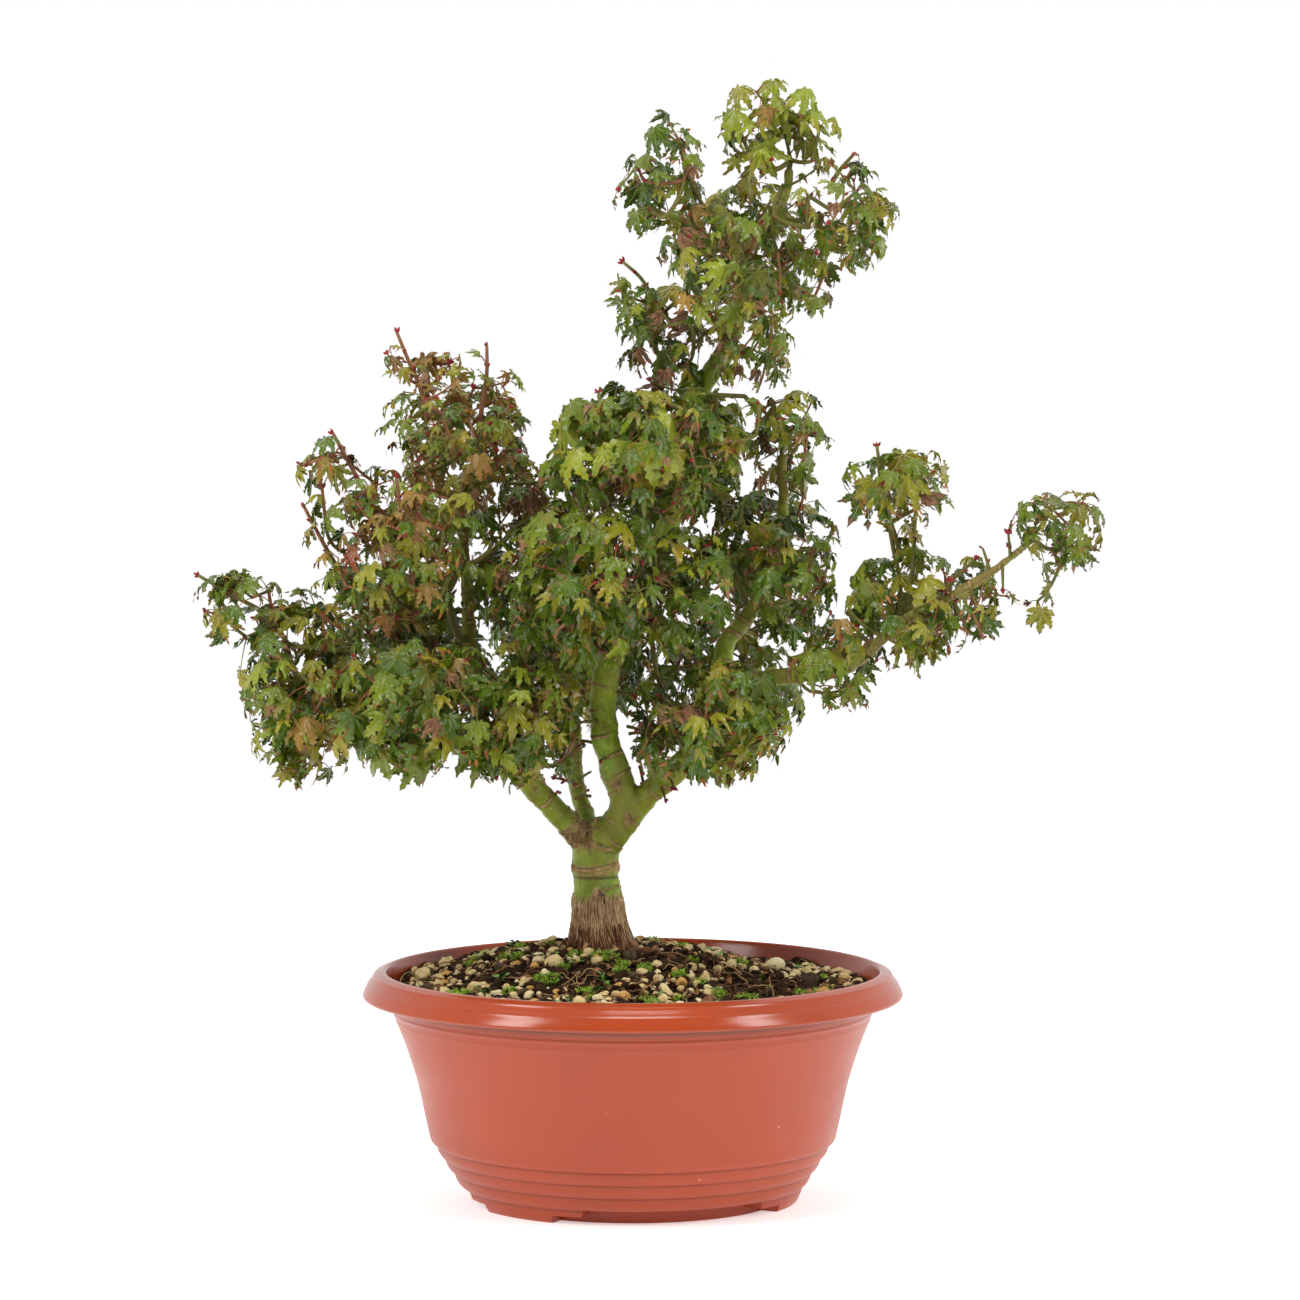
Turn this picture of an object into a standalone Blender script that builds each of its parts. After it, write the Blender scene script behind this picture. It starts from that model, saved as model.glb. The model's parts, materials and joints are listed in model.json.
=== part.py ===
# Potted Japanese maple, a young bonsai in a round plastic training pot.
# The origin is on the pot's axis at floor level, +Z up, with the front of the plant towards -Y.
# Sizes are given in millimetres and become metres where a mesh is made.

import math
import random

import bmesh
import bpy
import numpy as np
from mathutils import Matrix, Vector

MM = 0.001
GAP = 0.3

# Pot, turned about the Z axis
RIM_RADIUS = 139.3
CREST_RADIUS = 128.5
POT_HEIGHT = 119.2
POT_SIDES = 30
LIP_BOTTOM = 106.0
LIP_EDGE = ((133.9, 118.0), (137.0, 113.2), (RIM_RADIUS, 108.4), (137.4, LIP_BOTTOM), (125.6, 105.0))
CREST_INSIDE = (126.3, 116.2)
NECK_RADIUS = 125.0
WAIST = ((116.9, 80.0), (111.4, 62.5), (107.3, 44.0))
BAND_EDGES = ((105.3, 34.0), (102.4, 29.6), (98.6, 22.7), (93.6, 15.4), (88.8, 8.0))
BAND_STEP = 1.0
BAND_STEP_DROP = 0.4
FOOT_RADIUS = 84.5
FOOT_INNER_RADIUS = 75.0
WALL = 2.3
PLATE_BOTTOM = 1.3
PLATE_TOP = 4.2
SUMP_RADIUS = 72.5
LEDGE_HEIGHT = 10.5

# Gaps between the pot's three feet, each a wide low step and a narrower high one (degrees, height)
FOOT_GAP_LEVELS = ((87.7, 4.2), (64.6, 8.2))
FIRST_GAP_CENTRE = math.radians(-90.0 + 15.9)
FEET = 3
FOOT_GAP_INSET = 0.6
FOOT_GAP_OVERREACH = 12.0
FOOT_GAP_BELOW = -2.0
FOOT_GAP_STEPS = 10

# Soil: a disc that rises to a small plateau under the trunk
SOIL_EDGE_HEIGHT = 110.0
SOIL_TOP_HEIGHT = 126.3
PLATEAU_RADIUS = 24.0
MOUND_REACH = 92.0
SOIL_RINGS = (0.0, 30.0, 58.0, 88.0)

# Trunk foot on the soil
TRUNK_X = -16.0
TRUNK_Y = 20.0
TRUNK_FOOT = SOIL_TOP_HEIGHT + GAP

# Foliage
LEAF_LENGTH = 46.0
LEAF_THICKNESS = 1.0
LEAF_RIM = ((0, 0.60), (32, 0.27), (62, 0.50), (180, 0.40), (298, 0.50), (328, 0.27))
TWIG_TIP_RADIUS = 0.85
TWIG_GROWTH = 0.30
SPACE_MARGIN = 0.05
LIMB_CLEARANCE = 1.2
PEG_LENGTH = 6.0
STEM_ROOM = 2.0
FIRST_SEED = 4100
LEAF_PLACES = (1.0, 0.6)
LEAF_TRIES = 60
CROWDED = 7.0
LEAF_SINK = 0.4
LEAF_DROOP = 0.15
SITE_REACH = 0.75
SITE_SPREAD = 0.4
SITE_TRIES = 14
SITE_ROOM = 5.0
NEAREST_TWIGS = 5
OUTER_REACH = 1.2
SMALL_MASS_LEAF = 1.5
LEAF_SIZES = (1.0, 0.9125, 0.825, 0.7375, 0.65)

BARK_GREEN = (0.115, 0.190, 0.035)
BARK_TAN = (0.235, 0.140, 0.060)
LEAF_GREEN = (0.075, 0.165, 0.025)
LEAF_BRONZE = (0.210, 0.120, 0.030)
LEAF_YELLOW = (0.180, 0.250, 0.035)
TERRACOTTA = (0.520, 0.110, 0.045)
SOIL_BROWN = (0.045, 0.030, 0.018)

# Limbs, each after the one it grows from: way points (x, y, z, radius) from its root to its tip
LIMBS = {
    "trunk": {"from": (), "sides": 3, "route": (
        (TRUNK_X, TRUNK_Y, TRUNK_FOOT, 19.0), (TRUNK_X, TRUNK_Y, 129.5, 17.4), (-17.3, 20, 138, 14.4),
        (-18, 19.5, 152, 12.6), (-19.3, 19, 168, 11.7), (-19, 18.5, 183, 12.2), (-17, 18, 190, 11.0),
        (-16, 18, 194, 7.5))},
    "leader": {"from": ("trunk",), "sides": 2, "route": (
        (-17, 18, 182, 8.4), (-8, 13, 202, 7.6), (-12, 8, 222, 7.2), (-15, 6, 242, 6.9), (-15, 8, 263, 6.8),
        (-11, 12, 281, 6.7), (1, 18, 301, 6.5), (19, 26, 350, 6.2), (29, 24, 391, 5.8), (35, 20, 417, 5.5),
        (48, 16, 438, 5.0), (55, 12, 463, 4.4), (54, 9, 489, 3.6), (43, 7, 511, 2.6))},
    "right_bough": {"from": ("trunk", "leader"), "sides": 2, "route": (
        (-16, 18, 178, 7.6), (5, 10, 206, 6.7), (21, 2, 221, 6.4), (38, -4, 240, 6.2), (45, -7, 256, 6.0),
        (47, 0, 286, 5.0), (56, 5, 297, 4.4), (70, 13, 320, 3.8), (77, 17, 350, 3.0), (77, 20, 383, 2.2))},
    "left_bough": {"from": ("trunk", "leader"), "sides": 2, "route": (
        (-19, 18, 178, 7.4), (-43, 8, 204, 6.2), (-58, -2, 220, 5.8), (-79, -12, 238, 5.2),
        (-103, -18, 246, 4.4), (-124, -22, 253, 3.4))},
    "back_bough": {"from": ("trunk", "leader", "left_bough"), "sides": 2, "route": (
        (-19, 22, 180, 5.6), (-29, 48, 207, 4.4), (-31, 64, 224, 4.0), (-32, 98, 258, 3.2))},
    "lower_right_bough": {"from": ("right_bough",), "sides": 2, "route": (
        (45, -6, 258, 4.8), (57, -14, 268, 4.6), (80, -24, 273, 4.3), (106, -33, 277, 3.9),
        (124, -38, 290, 3.3))},
    "far_right_shoot": {"from": ("lower_right_bough",), "sides": 2, "route": (
        (120, -36, 286, 2.8), (135, -43, 301, 2.7), (160, -51, 315, 2.4), (179, -57, 327, 2.2),
        (198, -61, 342, 1.8))},
    "left_riser": {"from": ("left_bough",), "sides": 2, "route": (
        (-70, -8, 231, 4.0), (-80, 1, 258, 3.8), (-84, 9, 289, 3.5), (-86, 13, 324, 3.1),
        (-89, 14, 358, 2.5))},
    "top_shoot": {"from": ("leader",), "sides": 2, "route": (
        (54, 10, 480, 3.2), (65, 9, 500, 2.9), (78, 8, 517, 2.5), (80, 8, 530, 2.1))},
}
LIMB_STEP = 17.0

# Masses of foliage: the limb each grows on and how far along it, its twig ends, and its space as
# ellipsoids (x, y, z, radius x, radius y, radius z)
MASSES = {
    "top_tuft": ("top_shoot", 1.0, 5, ((71, 6, 553, 33, 30, 29),)),
    "top_right": ("top_shoot", 0.35, 5, ((100, -2, 507, 37, 42, 31),)),
    "top_left": ("leader", 0.97, 5, ((14, 2, 523, 27, 32, 37),)),
    "top_front": ("leader", 0.88, 5, ((52, -28, 479, 40, 30, 34),)),
    "top_back": ("leader", 0.84, 4, ((61, 55, 486, 40, 38, 42),)),
    "neck_left": ("leader", 0.78, 5, ((18, 4, 438, 29, 32, 31), (-5, -2, 471, 13, 24, 19))),
    "neck_right": ("leader", 0.74, 4, ((63, 0, 444, 28, 34, 29),)),
    "centre_high": ("leader", 0.62, 7, ((4, -28, 388, 52, 48, 38),)),
    "centre_back": ("leader", 0.52, 5, ((14, 78, 381, 52, 42, 44),)),
    "centre_low": ("leader", 0.33, 7, ((-24, -48, 321, 45, 44, 44), (-35, -10, 248, 13, 28, 34))),
    "heart": ("leader", 0.36, 5, ((24, -30, 317, 30, 42, 36), (12, -14, 247, 16, 28, 35))),
    "right_upper": ("right_bough", 1.0, 4, ((80, 8, 396, 22, 36, 30),)),
    "right_middle": ("right_bough", 0.74, 4, ((76, -10, 327, 29, 40, 32),)),
    "right_back": ("right_bough", 0.66, 4, ((72, 80, 326, 39, 40, 47),)),
    "right_low": ("right_bough", 0.33, 6, ((47, -46, 250, 40, 40, 35),)),
    "right_low_back": ("right_bough", 0.36, 6, ((51, 52, 252, 47, 42, 40),)),
    "right_end": ("lower_right_bough", 0.8, 8, (
        (138, -28, 320, 36, 45, 45), (139, -34, 368, 33, 35, 22), (168, -40, 302, 19, 28, 24))),
    "right_under": ("lower_right_bough", 0.55, 3, ((103, -40, 283, 30, 40, 26),)),
    "far_right": ("far_right_shoot", 1.0, 4, (
        (217, -62, 349, 26, 30, 24), (203, -62, 313, 12, 20, 18))),
    "left_upper": ("left_riser", 1.0, 7, ((-90, 12, 398, 40, 50, 46), (-118, 10, 429, 14, 28, 18))),
    "left_upper_back": ("left_riser", 0.9, 4, ((-86, 85, 373, 37, 36, 45),)),
    "left_centre": ("left_riser", 0.72, 6, ((-46, 22, 360, 27, 40, 34), (-73, -14, 318, 18, 30, 30))),
    "left_middle": ("left_riser", 0.5, 7, (
        (-118, -30, 339, 47, 48, 44), (-158, -22, 379, 18, 30, 16))),
    "left_far": ("left_bough", 1.0, 7, ((-167, -34, 268, 34, 45, 50), (-200, -36, 307, 26, 27, 21))),
    "left_low": ("left_bough", 0.85, 6, ((-112, -64, 260, 50, 36, 38),)),
    "left_low_back": ("left_bough", 0.7, 6, ((-121, 40, 271, 49, 42, 47),)),
    "left_inner": ("left_bough", 0.45, 4, ((-57, -36, 256, 31, 40, 38),)),
    "back_low": ("back_bough", 1.0, 6, ((-29, 122, 291, 53, 42, 58),)),
}
TINTS = {
    "left_upper": LEAF_BRONZE, "left_upper_back": LEAF_BRONZE, "left_middle": LEAF_BRONZE,
    "top_tuft": LEAF_YELLOW, "top_right": LEAF_YELLOW, "far_right": LEAF_YELLOW,
}


def clear_scene():
    for item in list(bpy.data.objects):
        bpy.data.objects.remove(item)


def new_collection(name):
    group = bpy.data.collections.new(name)
    bpy.context.scene.collection.children.link(group)
    return group


def paint(name, colour, roughness):
    material = bpy.data.materials.new(name)
    material.use_nodes = True
    shader = material.node_tree.nodes["Principled BSDF"]
    shader.inputs["Base Color"].default_value = (*colour, 1.0)
    shader.inputs["Roughness"].default_value = roughness
    shader.inputs["Metallic"].default_value = 0.0
    return material


def add_object(name, mesh, group):
    item = bpy.data.objects.new(name, mesh)
    group.objects.link(item)
    return item


def bm_object(name, bm, group):
    mesh = bpy.data.meshes.new(name)
    bm.to_mesh(mesh)
    bm.free()
    return add_object(name, mesh, group)


def evaluated_mesh(item):
    depsgraph = bpy.context.evaluated_depsgraph_get()
    depsgraph.update()
    return bpy.data.meshes.new_from_object(item.evaluated_get(depsgraph))


def bake(item, group, name):
    """Turn an object and its modifiers into a plain mesh object under the given name."""
    mesh = evaluated_mesh(item)
    place = item.matrix_world.copy()
    bpy.data.objects.remove(item)
    mesh.name = name
    result = add_object(name, mesh, group)
    result.matrix_world = place
    return result


def finish(item, material, smooth=True):
    item.data.materials.clear()
    item.data.materials.append(material)
    if smooth:
        item.data.shade_smooth()
        item.data.set_sharp_from_angle(angle=math.radians(35.0))


def keep_main_body(mesh):
    """Weld a Boolean's result and drop the loose scraps and sealed hollows beside its main body."""
    bm = bmesh.new()
    bm.from_mesh(mesh)
    bmesh.ops.remove_doubles(bm, verts=bm.verts, dist=0.002 * MM)
    bmesh.ops.dissolve_degenerate(bm, edges=bm.edges, dist=0.002 * MM)
    bmesh.ops.triangulate(bm, faces=bm.faces)
    unseen = set(bm.faces)
    bodies = []
    while unseen:
        seed = unseen.pop()
        body = {seed}
        stack = [seed]
        while stack:
            for edge in stack.pop().edges:
                for face in edge.link_faces:
                    if face in unseen and len(edge.link_faces) == 2:
                        unseen.remove(face)
                        body.add(face)
                        stack.append(face)
        bodies.append(body)
    bodies.sort(key=len)
    scraps = [face for body in bodies[:-1] for face in body]
    bmesh.ops.delete(bm, geom=scraps, context="FACES")
    bm.to_mesh(mesh)
    bm.free()


# Pot

def turned(name, profile, steps, group):
    """A profile of (radius, height) turned about Z; it starts and ends on the axis."""
    bm = bmesh.new()
    verts = [bm.verts.new((radius * MM, 0.0, height * MM)) for radius, height in profile]
    for first, second in zip(verts, verts[1:]):
        bm.edges.new((first, second))
    item = bm_object(name, bm, group)
    screw = item.modifiers.new("turn", "SCREW")
    screw.axis = "Z"
    screw.steps = steps
    screw.render_steps = steps
    screw.use_merge_vertices = True
    screw.merge_threshold = 0.01 * MM
    return item


def band_profile():
    """The stepped bands under the pot's wall, from the wall down to the foot."""
    points = [BAND_EDGES[0]]
    for radius, height in BAND_EDGES[1:]:
        points.append((radius, height))
        points.append((radius - BAND_STEP, height - BAND_STEP_DROP))
    return points


def pot_outline():
    inside = [(0.0, PLATE_TOP), (SUMP_RADIUS, PLATE_TOP), (SUMP_RADIUS, LEDGE_HEIGHT)]
    inside += [(radius - WALL, height + WALL) for radius, height in reversed(BAND_EDGES[0::4])]
    inside += [(radius - WALL, height) for radius, height in reversed(WAIST[0::2])]
    inside += [(NECK_RADIUS - WALL, LIP_BOTTOM), CREST_INSIDE]
    lip = [(CREST_RADIUS, POT_HEIGHT), *LIP_EDGE]
    foot = [(FOOT_RADIUS, 0.0), (FOOT_INNER_RADIUS, 0.0)]
    plate = [(FOOT_INNER_RADIUS, PLATE_BOTTOM), (0.0, PLATE_BOTTOM)]
    return inside + lip + list(WAIST) + band_profile() + foot + plate


def foot_gap_cutter(number, width, height, cutters):
    """A block swept round the pot's foot, as wide as one level of the gap between two feet."""
    centre = FIRST_GAP_CENTRE + number * math.tau / FEET
    angle = math.radians(width)
    inner = FOOT_INNER_RADIUS + FOOT_GAP_INSET
    outer = FOOT_RADIUS + FOOT_GAP_OVERREACH
    bm = bmesh.new()
    low = [(inner, FOOT_GAP_BELOW), (outer, FOOT_GAP_BELOW)]
    high = [(outer, height), (inner, height)]
    face = bm.faces.new([bm.verts.new((x * MM, 0.0, z * MM)) for x, z in low + high])
    start = Matrix.Rotation(centre - angle / 2, 3, "Z")
    bmesh.ops.rotate(bm, verts=face.verts, cent=(0, 0, 0), matrix=start)
    bmesh.ops.spin(bm, geom=[face], cent=(0, 0, 0), axis=(0, 0, 1), angle=angle,
                     steps=FOOT_GAP_STEPS)
    bmesh.ops.recalc_face_normals(bm, faces=bm.faces)
    return as_cutter(bm_object("foot_gap_%d_%d" % (number, width), bm, cutters))


def as_cutter(item):
    item.hide_render = True
    item.display_type = "WIRE"
    return item


def cut(item, cutter):
    modifier = item.modifiers.new("cut", "BOOLEAN")
    modifier.operation = "DIFFERENCE"
    modifier.solver = "EXACT"
    modifier.object = cutter


def build_pot(parts, cutters):
    pot = turned("pot_turned", pot_outline(), POT_SIDES, parts)
    for number in range(FEET):
        for width, height in FOOT_GAP_LEVELS:
            cut(pot, foot_gap_cutter(number, width, height, cutters))
    pot = bake(pot, parts, "pot")
    keep_main_body(pot.data)
    finish(pot, paint("terracotta_plastic", TERRACOTTA, 0.35))


# Soil

def soil_height(x, y):
    away = math.hypot(x - TRUNK_X, y - TRUNK_Y)
    rise = max(0.0, 1.0 - max(0.0, away - PLATEAU_RADIUS) / MOUND_REACH)
    return SOIL_EDGE_HEIGHT + (SOIL_TOP_HEIGHT - SOIL_EDGE_HEIGHT) * rise * rise * (3.0 - 2.0 * rise)


def build_soil(parts):
    """The filling of the pot: a turned plug whose top rings are raised to the mound."""
    clear = WALL + 2 * GAP
    top = [(radius, SOIL_EDGE_HEIGHT) for radius in SOIL_RINGS]
    side = [(NECK_RADIUS - clear, SOIL_EDGE_HEIGHT), (NECK_RADIUS - clear, LIP_BOTTOM)]
    side += [(radius - clear, height) for radius, height in WAIST[0::2]]
    side += [(BAND_EDGES[0][0] - clear, BAND_EDGES[0][1] + WALL)]
    side += [(BAND_EDGES[4][0] - clear - 1.0, LEDGE_HEIGHT + 2 * GAP)]
    side += [(SUMP_RADIUS - 2 * GAP, LEDGE_HEIGHT + 2 * GAP), (SUMP_RADIUS - 2 * GAP, PLATE_TOP + GAP)]
    bottom = [(0.0, PLATE_TOP + GAP)]
    soil = turned("soil_turned", top + side + bottom, POT_SIDES, parts)
    soil = bake(soil, parts, "soil")
    for vert in soil.data.vertices:
        if vert.co.z > (SOIL_EDGE_HEIGHT - 1.0) * MM:
            vert.co.z = soil_height(vert.co.x / MM, vert.co.y / MM) * MM
    bm = bmesh.new()
    bm.from_mesh(soil.data)
    bmesh.ops.triangulate(bm, faces=bm.faces)
    bm.to_mesh(soil.data)
    bm.free()
    finish(soil, paint("potting_soil", SOIL_BROWN, 0.95))


# Trunk and boughs

def smooth_route(waypoints):
    """Points along a smooth curve through the way points, each (x, y, z, radius)."""
    given = [np.array(point, dtype=float) for point in waypoints]
    ends = [2 * given[0] - given[1]] + given + [2 * given[-1] - given[-2]]
    points = [given[0]]
    for before, start, end, after in zip(ends, ends[1:], ends[2:], ends[3:]):
        steps = max(1, round(float(np.linalg.norm((end - start)[:3])) / LIMB_STEP))
        for step in range(1, steps + 1):
            t = step / steps
            points.append(0.5 * (2 * start + (end - before) * t
                                 + (2 * before - 5 * start + 4 * end - after) * t ** 2
                                 + (3 * start - before - 3 * end + after) * t ** 3))
    return np.array(points)


def tube(name, route, growth, sides, group):
    """A curve through the route with its radius at each point, made a closed mesh."""
    curve = bpy.data.curves.new(name, "CURVE")
    curve.dimensions = "3D"
    curve.bevel_depth = MM
    curve.bevel_resolution = sides
    curve.use_fill_caps = True
    spline = curve.splines.new("POLY")
    spline.points.add(len(route) - 1)
    for point, place in zip(spline.points, route):
        point.co = (place[0] * MM, place[1] * MM, place[2] * MM, 1.0)
        point.radius = place[3] + growth
    item = bake(add_object(name + "_curve", curve, group), group, name)
    bm = bmesh.new()
    bm.from_mesh(item.data)
    bmesh.ops.remove_doubles(bm, verts=bm.verts, dist=0.01 * MM)
    bmesh.ops.recalc_face_normals(bm, faces=bm.faces)
    bm.to_mesh(item.data)
    bm.free()
    return item


def lengthened(route, extra):
    """The route with both ends pushed out along its own direction."""
    longer = route.copy()
    for end, inner in ((0, 1), (-1, -2)):
        away = route[end][:3] - route[inner][:3]
        longer[end][:3] += away / np.linalg.norm(away) * extra
    return longer


def build_limbs(parts, cutters, routes):
    green = paint("green_bark", BARK_GREEN, 0.55)
    tan = paint("old_bark", BARK_TAN, 0.85)
    for name, limb in LIMBS.items():
        item = tube(name + "_whole", routes[name], 0.0, limb["sides"], parts)
        for parent in limb["from"]:
            sides = LIMBS[parent]["sides"]
            shape = lengthened(routes[parent], GAP)
            cut(item, as_cutter(tube("%s_off_%s" % (name, parent), shape, GAP, sides, cutters)))
        item = bake(item, parts, name)
        keep_main_body(item.data)
        finish(item, tan if name == "trunk" else green)


# Space that a mass of foliage may use

class Room:
    """Tests points against the masses' spaces and against the limbs."""

    def __init__(self, routes):
        self.spaces = {}
        for name, (limb, along, sites, balls) in MASSES.items():
            self.spaces[name] = np.array(balls, dtype=float)
        self.starts = []
        self.ends = []
        self.radii = []
        self.owners = []
        for route in routes.values():
            self.add_bars(route[:-1], route[1:], None)

    def add_bars(self, starts, ends, owner):
        for start, end in zip(starts, ends):
            self.starts.append(start[:3])
            self.ends.append(end[:3])
            self.radii.append(max(start[3], end[3]))
            self.owners.append(owner)

    def depth(self, name, points):
        """How far out each point lies in a mass's space: 0 at a centre, 1 on its edge."""
        balls = self.spaces[name]
        steps = (points[:, None, :] - balls[None, :, :3]) / balls[None, :, 3:]
        return np.sqrt((steps ** 2).sum(axis=2)).min(axis=1)

    def inside(self, name, points):
        own = self.depth(name, points)
        if own.max() > OUTER_REACH:
            return False
        for other in self.spaces:
            if other != name and (self.depth(other, points) < own + SPACE_MARGIN).any():
                return False
        return True

    def clear(self, name, points, room):
        """True where no point is nearer to a limb, or to another mass's stem, than the room."""
        starts = np.array(self.starts)
        along = np.array(self.ends) - starts
        others = np.array([owner != name for owner in self.owners])
        radii = np.array(self.radii)
        lengths = (along ** 2).sum(axis=1)
        offset = points[:, None, :] - starts[None]
        share = np.clip((offset * along[None]).sum(axis=2) / lengths[None], 0.0, 1.0)
        nearest = offset - share[..., None] * along[None]
        gaps = np.sqrt((nearest ** 2).sum(axis=2)) - radii[None]
        return bool((gaps[:, others] > room).all())


def unit(vector):
    return vector / max(float(np.linalg.norm(vector)), 1e-9)


def random_unit(rng):
    return unit(np.array([rng.gauss(0, 1) for _ in range(3)]))


def stem_start(routes, name):
    """Where a mass's stem leaves its limb, and the first direction that it takes."""
    limb, along, sites, balls = MASSES[name]
    route = routes[limb]
    if along == 1.0:
        heading = unit(route[-1][:3] - route[-2][:3])
        return route[-1][:3] + heading * GAP * 1.2, heading
    spot = along * (len(route) - 1)
    low = int(spot)
    place = route[low] + (route[low + 1] - route[low]) * (spot - low)
    grain = unit(route[low + 1][:3] - route[low][:3])
    away = np.array(balls[0][:3], dtype=float) - place[:3]
    heading = unit(away - grain * float(away @ grain))
    return place[:3] + heading * (place[3] + GAP), heading


def pick_sites(rng, room, name):
    """Twig ends spread evenly through the mass's space, each the best of a few random tries."""
    limb, along, count, balls = MASSES[name]
    sites = []
    for _ in range(count):
        best = None
        best_gap = -1.0
        for _ in range(SITE_TRIES):
            ball = rng.choice(balls)
            reach = SITE_REACH * rng.random() ** SITE_SPREAD
            point = np.array(ball[:3]) + random_unit(rng) * reach * np.array(ball[3:])
            if not room.inside(name, point[None]) or not room.clear(name, point[None], SITE_ROOM):
                continue
            gap = min([float(np.linalg.norm(point - other)) for other in sites] or [99.0])
            if gap > best_gap:
                best = point
                best_gap = gap
        if best is not None:
            sites.append(best)
    return sites


def join_sites(room, name, start, peg, sites):
    """A branching set of twigs: each site is joined to the nearest open twig that it can reach."""
    nodes = [{"at": start, "parent": None}, {"at": peg, "parent": 0}]
    waiting = sorted(sites, key=lambda site: float(np.linalg.norm(site - peg)))
    for site in waiting:
        order = sorted(range(1, len(nodes)), key=lambda n: float(np.linalg.norm(nodes[n]["at"] - site)))
        for number in order[:NEAREST_TWIGS]:
            base = nodes[number]["at"]
            span = base + (site - base) * np.linspace(0.0, 1.0, 9)[:, None]
            open_way = room.clear(name, span[1:], TWIG_TIP_RADIUS + LIMB_CLEARANCE)
            if open_way and (number == 1 or room.inside(name, span)):
                nodes.append({"at": site, "parent": number})
                break
    return nodes


def twig_radii(nodes):
    """Every twig's radius, thicker the more twig ends it carries."""
    carried = [1] * len(nodes)
    for number in range(len(nodes) - 1, 0, -1):
        carried[nodes[number]["parent"]] += carried[number]
    return [TWIG_TIP_RADIUS * count ** TWIG_GROWTH for count in carried]


def twig_piece(start, end, first, last, turn, group):
    """A three-sided tapering twig from one point to another, a little longer at both ends."""
    along = Vector(end - start).normalized()
    low = Vector(start) - along * (0.0 if first is None else 0.6)
    high = Vector(end) + along * 0.6
    middle = (low + high) / 2 * MM
    place = Matrix.Translation(middle) @ along.to_track_quat("Z", "Y").to_matrix().to_4x4()
    bm = bmesh.new()
    bmesh.ops.create_cone(bm, cap_ends=True, segments=3, radius1=(first or last) * MM, radius2=last * MM,
                          depth=(high - low).length * MM, matrix=place @ Matrix.Rotation(turn, 4, "Z"))
    return bm_object("twig", bm, group)


def leaf_frame(rng, way, up):
    """A leaf's own axes: along its midrib, across it and out of its face."""
    along = unit(way)
    face = unit(up - along * float(up @ along) + 0.25 * random_unit(rng))
    across = unit(np.cross(face, along))
    return along, across, np.cross(along, across)


def leaf_points(root, frame, length):
    along, across, face = frame
    middle = root + along * LEAF_RIM[3][1] * length
    rim = []
    for angle, reach in LEAF_RIM:
        turn = math.radians(angle)
        rim.append(middle + (along * math.cos(turn) + across * math.sin(turn)) * reach * length)
    thick = face * LEAF_THICKNESS / 2
    return np.array(rim), middle + thick, middle - thick


def leaf_piece(rim, top, bottom, group):
    """A flat bead with six points on its rim, drawn out to three lobes and a stalk."""
    bm = bmesh.new()
    bmesh.ops.create_uvsphere(bm, u_segments=len(rim), v_segments=2, radius=1.0)
    for vert in bm.verts:
        if vert.co.z > 0.5:
            vert.co = Vector(top) * MM
        elif vert.co.z < -0.5:
            vert.co = Vector(bottom) * MM
        else:
            turn = math.atan2(vert.co.y, vert.co.x) / math.tau
            vert.co = Vector(rim[round(turn * len(rim)) % len(rim)]) * MM
    bmesh.ops.recalc_face_normals(bm, faces=bm.faces)
    return bm_object("leaf", bm, group)


def crowding(spots, taken):
    """The share of a leaf's points that lie close to twigs and leaves already in the mass."""
    if not taken:
        return 0.0
    gaps = np.linalg.norm(spots[:, None, :] - np.vstack(taken)[None], axis=2).min(axis=1)
    return float((gaps < CROWDED).mean())


def place_leaf(rng, room, name, root, taken):
    """The rim and faces of one leaf on a twig, the one of many tries that fills most space."""
    balls = room.spaces[name]
    ball = balls[int(np.argmin(np.linalg.norm((root - balls[:, :3]) / balls[:, 3:], axis=1)))]
    outward = unit((root - ball[:3]) / ball[3:])
    longest = min(LEAF_LENGTH, SMALL_MASS_LEAF * float(ball[3:].min()))
    best = None
    best_score = 0.0
    for attempt in range(LEAF_TRIES):
        way = 0.8 * outward + np.array([0, 0, -LEAF_DROOP]) + 0.9 * random_unit(rng)
        up = np.array([0, 0, 0.8]) + 0.8 * outward
        length = longest * LEAF_SIZES[attempt % len(LEAF_SIZES)]
        frame = leaf_frame(rng, way, up)
        rim, top, bottom = leaf_points(root - frame[0] * LEAF_SINK, frame, length)
        spots = np.vstack([rim, (rim + np.roll(rim, 1, axis=0)) / 2, [top, bottom]])
        if not room.inside(name, spots) or not room.clear(name, spots, LIMB_CLEARANCE):
            continue
        away = spots[np.linalg.norm(spots - root, axis=1) > length * 0.3]
        score = length / LEAF_LENGTH - crowding(away, taken)
        if best is None or score > best_score:
            best_score = score
            best = rim, top, bottom, away
    if best is None:
        return None
    taken.append(best[3])
    return best[:3]


def grow_twigs(rng, name, room, routes):
    """A mass's twigs; the first ones, which may cross open air, are kept clear of other masses."""
    start, heading = stem_start(routes, name)
    peg = start + heading * PEG_LENGTH
    nodes = join_sites(room, name, start, peg, pick_sites(rng, room, name))
    for node in nodes[2:]:
        if node["parent"] == 1:
            ends = np.array([[*peg, STEM_ROOM], [*node["at"], STEM_ROOM]])
            room.add_bars(ends[:1], ends[1:], name)
    return nodes


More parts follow.
